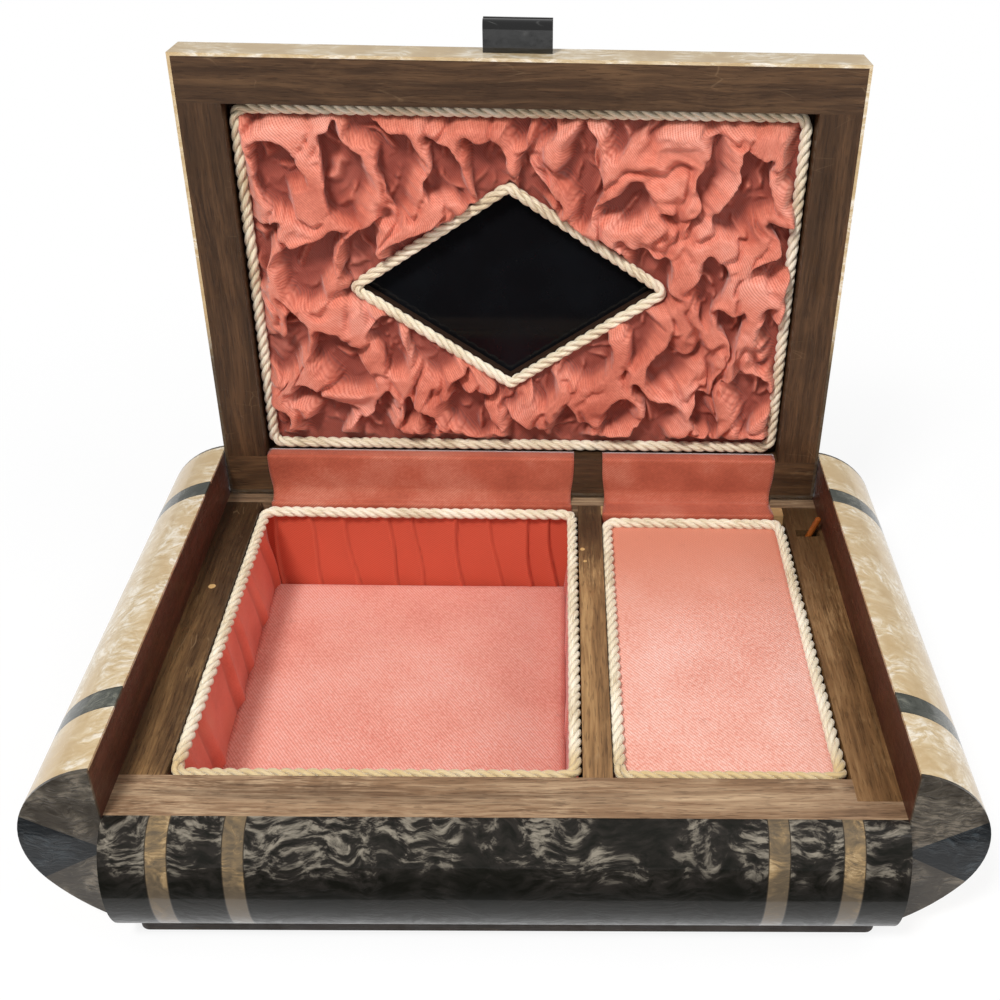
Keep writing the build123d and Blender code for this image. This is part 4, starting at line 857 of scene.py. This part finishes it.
def gathered(points, low, high, diamond, cloth):
    """How the ruched satin lies before it is draped: each point's height and lean, and which are stitched."""
    chance = random.Random(7)
    stitches = stitched_places(low, high, cloth.puff_across, cloth.puff_along, chance)
    drift = np.stack([rough_field(points, 0.016, 1.3, 2), rough_field(points, 0.016, 8.1, 2)], 1)
    away = (points + ridge_drift * drift)[:, None, :] - stitches[None, :, :]
    away[:, :, 1] *= cloth.puff_across / cloth.puff_along
    far = np.sqrt((away ** 2).sum(2))
    order = np.argsort(far, 1)[:, :2]
    rows = np.arange(len(points))
    near, second = far[rows, order[:, 0]], far[rows, order[:, 1]]
    from_crest = (second - near) / 2
    wide = ridge_width * np.clip(1 + 0.8 * rough_field(points, 0.012, 4.4), 0.45, 1.4)
    ridge = 1 - soft_step(from_crest, wide * 0.72, wide)
    bulge = 1 - 0.25 * np.clip(from_crest / wide, 0, 1) ** 2
    tall = cloth.puff_high * np.clip(1.0 + 0.8 * rough_field(points, 0.016, 2.2), 0.55, 1.2)
    height = tall * ridge * bulge
    radial = away[rows, order[:, 0]]
    angle = np.arctan2(radial[:, 1], radial[:, 0])
    phase = np.array([chance.uniform(0, 6.28) for _ in stitches])[order[:, 0]]
    folds = np.array([chance.choice((3, 4, 5)) for _ in stitches])[order[:, 0]]
    spokes = 1 - np.abs(np.sin(folds * angle / 2 + phase))
    height += spoke_height * spokes ** 3 * soft_step(near, 0.0006, 0.0026) * (1 - 0.75 * ridge)
    crease = 1 - np.abs(rough_field(points * np.array([1.0, 0.6]), 0.0095, 6.0, 2)) * 5.0
    height -= crease_depth * np.clip(crease, 0, 1) * ridge
    hold = held_down(points, low, high, diamond, cloth.puff_lean)
    sideways = np.clip(rough_field(points, 0.022, 5.5) * 3.0, -1, 1) * cloth.puff_lean * 1.4
    lean = np.stack([sideways, np.full(len(points), cloth.puff_lean)], 1) * (ridge * hold)[:, None]
    return height * hold, lean, set(np.flatnonzero(near < stitch_radius).tolist())


def drape(piece, held, fullness, most=0.0022, frames=12):
    """Lets the satin grow a little against its stitches, so that its folds find their own creases."""
    scene = bpy.context.scene
    start = np.array([v.co[:] for v in piece.data.vertices])
    group = piece.vertex_groups.new(name="stitched")
    group.add(sorted(held), 1.0, "REPLACE")
    gravity = tuple(scene.gravity)
    scene.gravity = (0, 0, 0)
    cloth = piece.modifiers.new("Cloth", "CLOTH")
    values = {"quality": 5, "mass": 0.1, "vertex_group_mass": "stitched", "bending_model": "ANGULAR",
              "tension_stiffness": 20, "compression_stiffness": 20, "shear_stiffness": 8,
              "bending_stiffness": 0.5, "tension_damping": 5, "compression_damping": 5, "shear_damping": 5,
              "bending_damping": 0.5, "air_damping": 1, "shrink_min": -fullness}
    for key, value in values.items():
        setattr(cloth.settings, key, value)
    cloth.collision_settings.use_collision = False
    cloth.collision_settings.use_self_collision = False
    for number in range(1, frames + 1):
        scene.frame_set(number)
    settle(piece)
    scene.frame_set(1)
    scene.gravity = gravity
    for v, before in zip(piece.data.vertices, start):
        moved = v.co - Vector(before)
        if moved.length > most:
            v.co = Vector(before) + moved.normalized() * most


def sharpen(piece, held, rounds=6, strength=1.1):
    """Draws the folds out from their smoothed height, which makes their tops and edges crisper."""
    spots = np.array([v.co[:] for v in piece.data.vertices])
    ends = np.array([e.vertices[:] for e in piece.data.edges])
    neighbours = np.bincount(ends.ravel(), minlength=len(spots))
    soft = spots[:, 2].copy()
    for _ in range(rounds):
        total = np.zeros(len(spots))
        np.add.at(total, ends[:, 0], soft[ends[:, 1]])
        np.add.at(total, ends[:, 1], soft[ends[:, 0]])
        soft = total / neighbours
    moved = (spots[:, 2] - soft) * strength
    moved[sorted(held)] = 0
    spots[:, 2] += moved
    piece.data.vertices.foreach_set("co", spots.ravel())


class JEWELBOX_OT_lid_satin(bpy.types.Operator):
    """Ruche the lid's satin round the mirror, stitched down at its tucks and puffed between them"""
    bl_idname = "jewel_box.lid_satin"
    bl_label = "Ruche the lid satin"

    def execute(self, context):
        cloth = settings("cloth")
        inset = Vector((cord_radius, cord_radius, 0))
        low, high = closed_box("lid_cord")
        low, high = low + inset, high - inset
        mat = closed_box("lid_mat")[0].z - 0.0002
        diamond = mirror_diamond(cord_radius)
        spots, faces, held = satin_grid(low, high, diamond)
        points = np.array([(p.x, p.y) for p in spots])
        height, lean, stitched = gathered(points, low, high, diamond, cloth)
        verts = [(x + dx, y + dy, h) for (x, y), (dx, dy), h in zip(points, lean, height)]
        period = cloth.twill_period * 1.15
        # The valley colour is painted shade, with some dust, in the ruched satin's low folds.
        stuff = satin("Lid satin", "B85C48", code_of(cloth.lid_colour), "EFA592", period, 40, rib=0.00013,
                      sheen=0.25, rough=0.38, stains=0.15, valley_dust_and_shade="7E3C34", wrinkle=0.0045)
        piece = new_piece("lid_satin", verts, faces, stuff, [(x * 1.35, y * 1.35) for x, y in points])
        drape(piece, held | stitched, cloth.puff_fullness)
        sharpen(piece, held)
        for v in piece.data.vertices:
            v.co.z = mat - min(max(v.co.z, 0.0), satin_reach)
        piece.data.flip_normals()
        smooth = piece.modifiers.new("Smooth", "SUBSURF")
        smooth.levels = smooth.render_levels = 1
        settle(piece)
        note_folds(piece, [min((mat - v.co.z) / satin_full, 1.0) for v in piece.data.vertices])
        piece.data.transform(lid_open)
        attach(piece, "lid")
        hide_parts("ruched_satin")
        reach = diamond[1]
        cut = satin_takes_up
        bare = (high.x - low.x) * (high.y - low.y) - 2 * reach[0] * reach[1]
        bare * cut ** 2
        return {"FINISHED"}


# Wall lining

def pleats(length, pitch, chance, slant, depth, step):
    """Where a wall's pleats stand, how far each leans, how deep it is, its bend and its step back."""
    count = max(1, round(length / pitch))
    found = []
    for k in range(count):
        found.append((length * (k + 0.5 + chance.uniform(-0.2, 0.2)) / count, chance.uniform(*slant),
                      depth * chance.uniform(0.7, 1.25), chance.uniform(0, 6.3), step))
    return found


def pleat_depth(folds, length, s, t):
    """How far the lining stands off the wall at s along it and t up it, and how open to the light it is.

    Each pleat rises slowly, then drops back behind its fold.
    """
    edges = []
    for place, slant, depth, phase, step in folds:
        bend = 0.0009 * math.sin(phase + 4.5 * t)
        edges.append((place + slant * (0.5 - t) + bend, depth, step))
    edges = [(-0.003, *edges[0][1:])] + edges + [(length + 0.003, *edges[-1][1:])]
    for (start, _, _), (stop, depth, step) in zip(edges, edges[1:]):
        if start <= s < stop:
            step = min(step, (stop - start) * 0.4)
            rise = (s - start) / (stop - start - step)
            if rise < 1:
                return depth * (0.35 * rise + 0.65 * rise ** 4), min(1.0, 0.45 + 4 * rise)
            drop = max(0.0, (stop - s) / step)
            return depth * drop * drop * (3 - 2 * drop), 0.3 + 0.6 * drop
    return 0.0, 1.0


def lining_walls(cloth, low, high):
    """Each wall: its first corner, its run, its inward side, its length, its pleats and which way they are
    read, and how far its cloth bellies out."""
    chance = random.Random(11)
    wide, deep = high.x - low.x, high.y - low.y
    crisp = (cloth.pleat_deep, 0.0006)
    soft = (cloth.pleat_deep * 0.8, 0.0055)
    left = pleats(deep, 0.022, chance, (-0.014, -0.004), *soft)
    back = pleats(wide, cloth.pleat_pitch, chance, (0.001, 0.004), *crisp)
    right = pleats(deep, 0.030, chance, (-0.004, 0.004), soft[0] * 0.4, soft[1])
    front = pleats(wide, cloth.pleat_pitch, chance, (-0.003, 0.003), *crisp)
    return [((low.x, low.y), (0, 1), (1, 0), deep, left, -1, 0.0008),
            ((low.x, high.y), (1, 0), (0, -1), wide, back, 1, 0.0),
            ((high.x, high.y), (0, -1), (-1, 0), deep, right, 1, 0.0024),
            ((high.x, low.y), (-1, 0), (0, 1), wide, front, 1, 0.0)]


def lining_row(walls, bottom, tall, t):
    """One level row of the lining, at t of its height: each point, its place on the cloth, its openness."""
    row = []
    start = 0.0
    for corner, run, inward, length, folds, way, belly in walls:
        count = round(length / lining_step)
        for s in (length * k / count for k in range(count)):
            off, openness = pleat_depth(folds, length, s if way > 0 else length - s, t)
            off = (off * (1.0 - 0.4 * t) + belly * (1 - t * t)) * min(1.0, min(s, length - s) / 0.004)
            off += 0.0006 + 0.0009 * (1 - t) ** 2 + 0.0003 * ripple(s * 90, t * 1.6, start * 20)
            wave = 0.0004 * ripple(s * 60, 7.0, start * 20) * (1 - t)
            x, y = [corner[i] + run[i] * s + inward[i] * off for i in (0, 1)]
            row.append(((x, y, bottom + tall * t + wave), (start + s, tall * t), openness))
        start += length
    return row


class JEWELBOX_OT_wall_lining(bpy.types.Operator):
    """Hang the pleated satin round the compartment's walls"""
    bl_idname = "jewel_box.wall_lining"
    bl_label = "Pleat the wall lining"

    def execute(self, context):
        cloth = settings("cloth")
        low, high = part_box("wall_lining")
        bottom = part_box("floor_pad")[0].z + 0.0008
        tall = high.z - bottom
        walls = lining_walls(cloth, low, high)
        levels = 16
        rows = [lining_row(walls, bottom, tall, j / levels) for j in range(levels + 1)]
        verts, flat, openness = zip(*(point for row in rows for point in row))
        faces = [tuple(reversed(f)) for f in grid_faces(len(rows[0]), levels, ring=True)]
        # Painted shade: the lining darkens towards the back wall, and its pleats' folds get painted shade
        # with some dust.
        back_wall_painted_shade = (high.y - 0.014, high.y - 0.004, "D05A42")
        stuff = satin("Wall satin", "D0563E", code_of(cloth.wall_colour), "F08468", cloth.twill_period, 50,
                      rib=0.00006, sheen=0.3, rough=0.48, stains=0.1, valley_dust_and_shade="9A3524", far=back_wall_painted_shade,
                      thread="B04530")
        piece = new_piece("pleated_lining", verts, faces, stuff, flat)
        note_folds(piece, openness)
        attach(piece, "case")
        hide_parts("wall_lining")
        round_length = sum(wall[3] for wall in walls)
        round_length * lining_takes_up
        return {"FINISHED"}


# Pads

def stuffed_pad(name, low, high, material, crown, shoulder, pull, cells=0.0016, rumple=0.0004):
    """A crowned closed pad: flat underneath, rounded at its shoulders, its sides drawn in between corners."""
    size = high - low
    middle_x, middle_y = (low.x + high.x) / 2, (low.y + high.y) / 2
    columns, rows = round(size.x / cells), round(size.y / cells)
    under, top = [], []
    for j in range(rows + 1):
        for i in range(columns + 1):
            u, v = 2 * i / columns - 1, 2 * j / rows - 1
            x = middle_x + size.x / 2 * u * (1 - pull * (1 - v * v))
            y = middle_y + size.y / 2 * v * (1 - pull * (1 - u * u))
            edge = min(size.x * (1 - abs(u)) / 2, size.y * (1 - abs(v)) / 2)
            round_off = 1 - (1 - min(edge / shoulder, 1)) ** 2
            swell = (1 - u ** 4) * (1 - v ** 4)
            z = low.z + (high.z - crown - low.z) * math.sqrt(max(round_off, 0.0))
            z += crown * swell + rumple * swell * ripple(x * 38, y * 30, 2.0)
            z += 0.35 * rumple * ripple(x * 110, y * 90, 5.0) * swell
            under.append((x, y, low.z))
            top.append((x, y, max(z, low.z + 0.0002)))
    count, wide = len(top), columns + 1
    faces = [tuple(reversed(f)) for f in grid_faces(columns, rows)]
    faces += [tuple(v + count for v in f) for f in grid_faces(columns, rows)]
    rim = [i for i in range(columns)] + [columns + j * wide for j in range(rows)]
    rim += [rows * wide + columns - i for i in range(columns)] + [(rows - j) * wide for j in range(rows)]
    faces += [(a, b, b + count, a + count) for a, b in zip(rim, rim[1:] + rim[:1])]
    return new_piece(name, under + top, faces, material, [(x, y) for x, y, _ in under + top])


class JEWELBOX_OT_pads(bpy.types.Operator):
    """Stuff the compartment's floor pad and the padded cover over the movement"""
    bl_idname = "jewel_box.pads"
    bl_label = "Stuff the pads"

    def execute(self, context):
        cloth = settings("cloth")
        period = cloth.twill_period * 1.25
        low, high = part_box("floor_pad")
        high = high - Vector((0.0026, 0.0021, 0))
        stuff = satin("Floor satin", "DC8C7C", code_of(cloth.floor_colour), "F2BCB0", period, -35,
                      rib=0.00014, sheen=0.2, rough=0.55, stains=0.45, thread="C87262", mottle=0.5)
        pad = stuffed_pad("padded_floor", low, high, stuff, crown=0.0011, shoulder=0.004, pull=0.006)
        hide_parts("floor_pad")
        low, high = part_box("cover_pad")
        stuff = satin("Cover satin", "DC907E", "EEB2A2", "F6C8BC", period, -40, rib=0.00014, sheen=0.2,
                      rough=0.5, stains=0.4, far=(-0.01, 0.06, "DA8A70"), thread="CE806C", mottle=0.5)
        cover = stuffed_pad("padded_cover", low, high, stuff, crown=0.0009, shoulder=0.003, pull=0.004)
        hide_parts("cover_pad")
        for piece, fill in ((pad, 0.5), (cover, 0.6)):
            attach(piece, "case")
        return {"FINISHED"}


# Ribbons

def rounded(path, radius, parts=5):
    """A path of (y, z) points with its corners rounded."""
    found = [Vector(path[0])]
    for before, here, after in zip(path, path[1:], path[2:]):
        here = Vector(here)
        back, on = Vector(before) - here, Vector(after) - here
        reach = min(radius, back.length * 0.45, on.length * 0.45)
        one, two = here + back.normalized() * reach, here + on.normalized() * reach
        for k in range(parts + 1):
            t = k / parts
            found.append(one * (1 - t) ** 2 + here * 2 * t * (1 - t) + two * t * t)
    found.append(Vector(path[-1]))
    return found


def ribbon_path(tail, foot, rail):
    """The (y, z) line that a ribbon follows, from the case's cord over the hinge gap to the lid's cord."""
    rail_low = closed_box("lid_back_rail")[0]
    path = [(tail, foot), (tail, rail + ribbon_lift), (hinge_place.y - hinge_gap, rail + ribbon_lift)]
    under = rail_low.z - ribbon_lift
    for y, z in ((hinge_place.y - 0.0030, under), (rail_low.y - 0.0004, under),
                 (rail_low.y - 0.0006, rail_low.z + 0.0048)):
        spot = lid_open @ Vector((0, y, z))
        path.append((spot.y, spot.z))
    path = rounded(path, ribbon_corner)
    dense = []
    for one, two in zip(path, path[1:]):
        parts = max(1, round((two - one).length / 0.0012))
        dense += [one.lerp(two, k / parts) for k in range(parts)]
    return dense + [path[-1]]


class JEWELBOX_OT_ribbons(bpy.types.Operator):
    """Lay the two satin ribbons over the hinge gap, from the lid's cord to the case's cords"""
    bl_idname = "jewel_box.ribbons"
    bl_label = "Lay the hinge ribbons"

    def execute(self, context):
        cloth = settings("cloth")
        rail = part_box("left_wall")[1].z
        stuff = satin("Ribbon satin", "9C4632", "BC6048", "D0816A", cloth.twill_period, 48,
                      sheen=0.5, rough=0.32, stains=0.45, thread="86402C")
        for name, side, (low, high) in zip(("ribbon_left", "ribbon_right"), (-1, 1), halves("hinge_ribbons")):
            line = ribbon_path(low.y + 0.0003, low.z + 0.001, rail)
            width = high.x - low.x
            columns = round(width / 0.0015)
            verts, flat, run = [], [], 0.0
            for j, spot in enumerate(line):
                if j:
                    run += (spot - line[j - 1]).length
                from_hinge = (spot.x - hinge_place.y) ** 2 + (spot.y - hinge_place.z) ** 2
                waist = ribbon_waist * math.exp(-from_hinge / 0.007 ** 2)
                ease = math.sin(math.pi * min(max((spot.y - rail) / 0.016, 0), 1))
                for i in range(columns + 1):
                    x = low.x + waist + (width - 2 * waist) * (i / columns)
                    soft = 0.00035 * ripple(x * 45, run * 60, side) * ease
                    verts.append((x, spot.x - abs(soft), spot.y))
                    flat.append((x, run))
            piece = new_piece(name, verts, grid_faces(columns, len(line) - 1), stuff, flat)
            thick = piece.modifiers.new("Thickness", "SOLIDIFY")
            thick.thickness = ribbon_thick
            thick.offset = 0.0
            settle(piece)
            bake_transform(piece)
            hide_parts("hinge_ribbons")
        return {"FINISHED"}


# Stage

def flat_plate(name, low, high, height, material):
    """A level rectangle between two (x, y) corners."""
    verts = [(low[0], low[1], height), (high[0], low[1], height), (high[0], high[1], height),
             (low[0], high[1], height)]
    return new_piece(name, verts, [(0, 1, 2, 3)], material, smooth=False)


def white_floor():
    """A pale floor that the camera sees whiter with distance."""
    floor = Finish("Studio floor", Roughness=0.9, Specular_IOR_Level=0.1)
    grain = floor.place.speckle(0.02)
    floor.wear(Base_Color=grain.ramp({0.0: "F4F4F4", 1.0: "FAFAFA"}))
    white = floor.wire("ShaderNodeEmission", {"Color": "FFFFFF", "Strength": 1.0})
    away = floor.vectors("LENGTH", floor.place, (0, 0, 0), "Value")
    share = floor.seen_by("Is Camera Ray", "Is Glossy Ray") * away.span(0.17, 0.42, 0.84, 1.0)
    plain = Wire(floor, floor.shader.outputs[0])
    seen = floor.wire("ShaderNodeMixShader", {0: share, 1: plain, 2: white})
    floor.feed(floor.tree.nodes["Material Output"].inputs["Surface"], seen)
    return flat_plate("studio_floor", (-3.0, -3.0), (3.0, 3.0), 0, floor.material)


def dark_card():
    """A card in front of the box that only its gloss shows."""
    black = Finish("Black card", Roughness=1.0, Specular_IOR_Level=0.0)
    black.wear(Base_Color=black.place.speckle(0.05).ramp({0: "0C0C0C", 1: "141414"}))
    flag = flat_plate("dark_card", (-0.7, -0.9), (0.7, -0.112), 0.0005, black.material)
    for kind in ("camera", "diffuse", "shadow", "transmission", "volume_scatter"):
        setattr(flag, "visible_" + kind, False)
    return flag


def white_world(scene):
    """A white background whose light is softer than it looks."""
    scene.world = scene.world or bpy.data.worlds.new("Studio")
    scene.world.use_nodes = True
    nodes = Nodes(scene.world.node_tree)
    nodes.tree.nodes.clear()
    soft = nodes.wire("ShaderNodeBackground", {"Color": "FFFFFF", "Strength": 0.42})
    bright = nodes.wire("ShaderNodeBackground", {"Color": "FFFFFF", "Strength": 1.0})
    seen = nodes.seen_by("Is Camera Ray", "Is Transmission Ray")
    shown = nodes.wire("ShaderNodeMixShader", {0: seen, 1: soft, 2: bright})
    nodes.add("ShaderNodeOutputWorld", {"Surface": shown})


class JEWELBOX_OT_stage(bpy.types.Operator):
    """Set the pale floor, the soft lamps and the camera at the photograph's angle"""
    bl_idname = "jewel_box.stage"
    bl_label = "Set the stage"

    def execute(self, context):
        scene = context.scene
        ground = white_floor()
        flag = dark_card()
        for name, place, size, power in (("key_lamp", (-0.30, -0.55, 0.95), 0.20, 9.4),
                                         ("fill_lamp", (0.65, -0.25, 0.75), 0.6, 3.0)):
            lamp = bpy.data.lights.new(name, "AREA")
            lamp.size = size
            lamp.energy = power
            stand = place_in_scene(name, lamp)
            stand.location = place
            aim = Vector((0, 0, 0.05)) - stand.location
            stand.rotation_euler = aim.to_track_quat("-Z", "Y").to_euler()
            stand.visible_glossy = name != "key_lamp"
        white_world(scene)
        lens = bpy.data.cameras.new("camera")
        lens.lens = 45.05
        lens.shift_x = -0.0787
        lens.clip_start = 0.01
        camera = place_in_scene("camera", lens)
        camera.location = (0.010821, -0.307473, 0.300781)
        camera.rotation_euler = [math.radians(a) for a in (56.172, -1.204, -0.643)]
        scene.camera = camera
        scene.view_settings.view_transform = "Standard"
        return {"FINISHED"}


class JEWELBOX_PT_panel(bpy.types.Panel):
    """Lists the box's pieces in the order they are made"""
    bl_idname = "JEWELBOX_PT_panel"
    bl_label = "Musical jewelry box"
    bl_space_type = "VIEW_3D"
    bl_region_type = "UI"
    bl_category = "Jewelry box"

    def draw(self, context):
        for kind, group in groups.items():
            box = self.layout.box()
            for name in group.__annotations__:
                box.prop(settings(kind), name)
        for step in steps:
            self.layout.operator(step.bl_idname)


steps = (JEWELBOX_OT_stage, JEWELBOX_OT_woodwork, JEWELBOX_OT_celluloid, JEWELBOX_OT_movement,
         JEWELBOX_OT_ropes, JEWELBOX_OT_wall_lining, JEWELBOX_OT_pads, JEWELBOX_OT_ribbons,
         JEWELBOX_OT_lid_satin)
groups = {"shell": JewelBoxShell, "cloth": JewelBoxCloth, "rope": JewelBoxRope}


def register():
    for kind, group in groups.items():
        bpy.utils.register_class(group)
        setattr(bpy.types.Scene, "jewel_box_" + kind, bpy.props.PointerProperty(type=group))
    for made in (*steps, JEWELBOX_PT_panel):
        bpy.utils.register_class(made)


def unregister():
    for made in (JEWELBOX_PT_panel, *reversed(steps)):
        bpy.utils.unregister_class(made)
    for kind, group in groups.items():
        delattr(bpy.types.Scene, "jewel_box_" + kind)
        bpy.utils.unregister_class(group)


def main():
    register()
    for step in steps:
        getattr(bpy.ops.jewel_box, step.bl_idname.split(".")[1])()


if __name__ == "__main__":
    main()
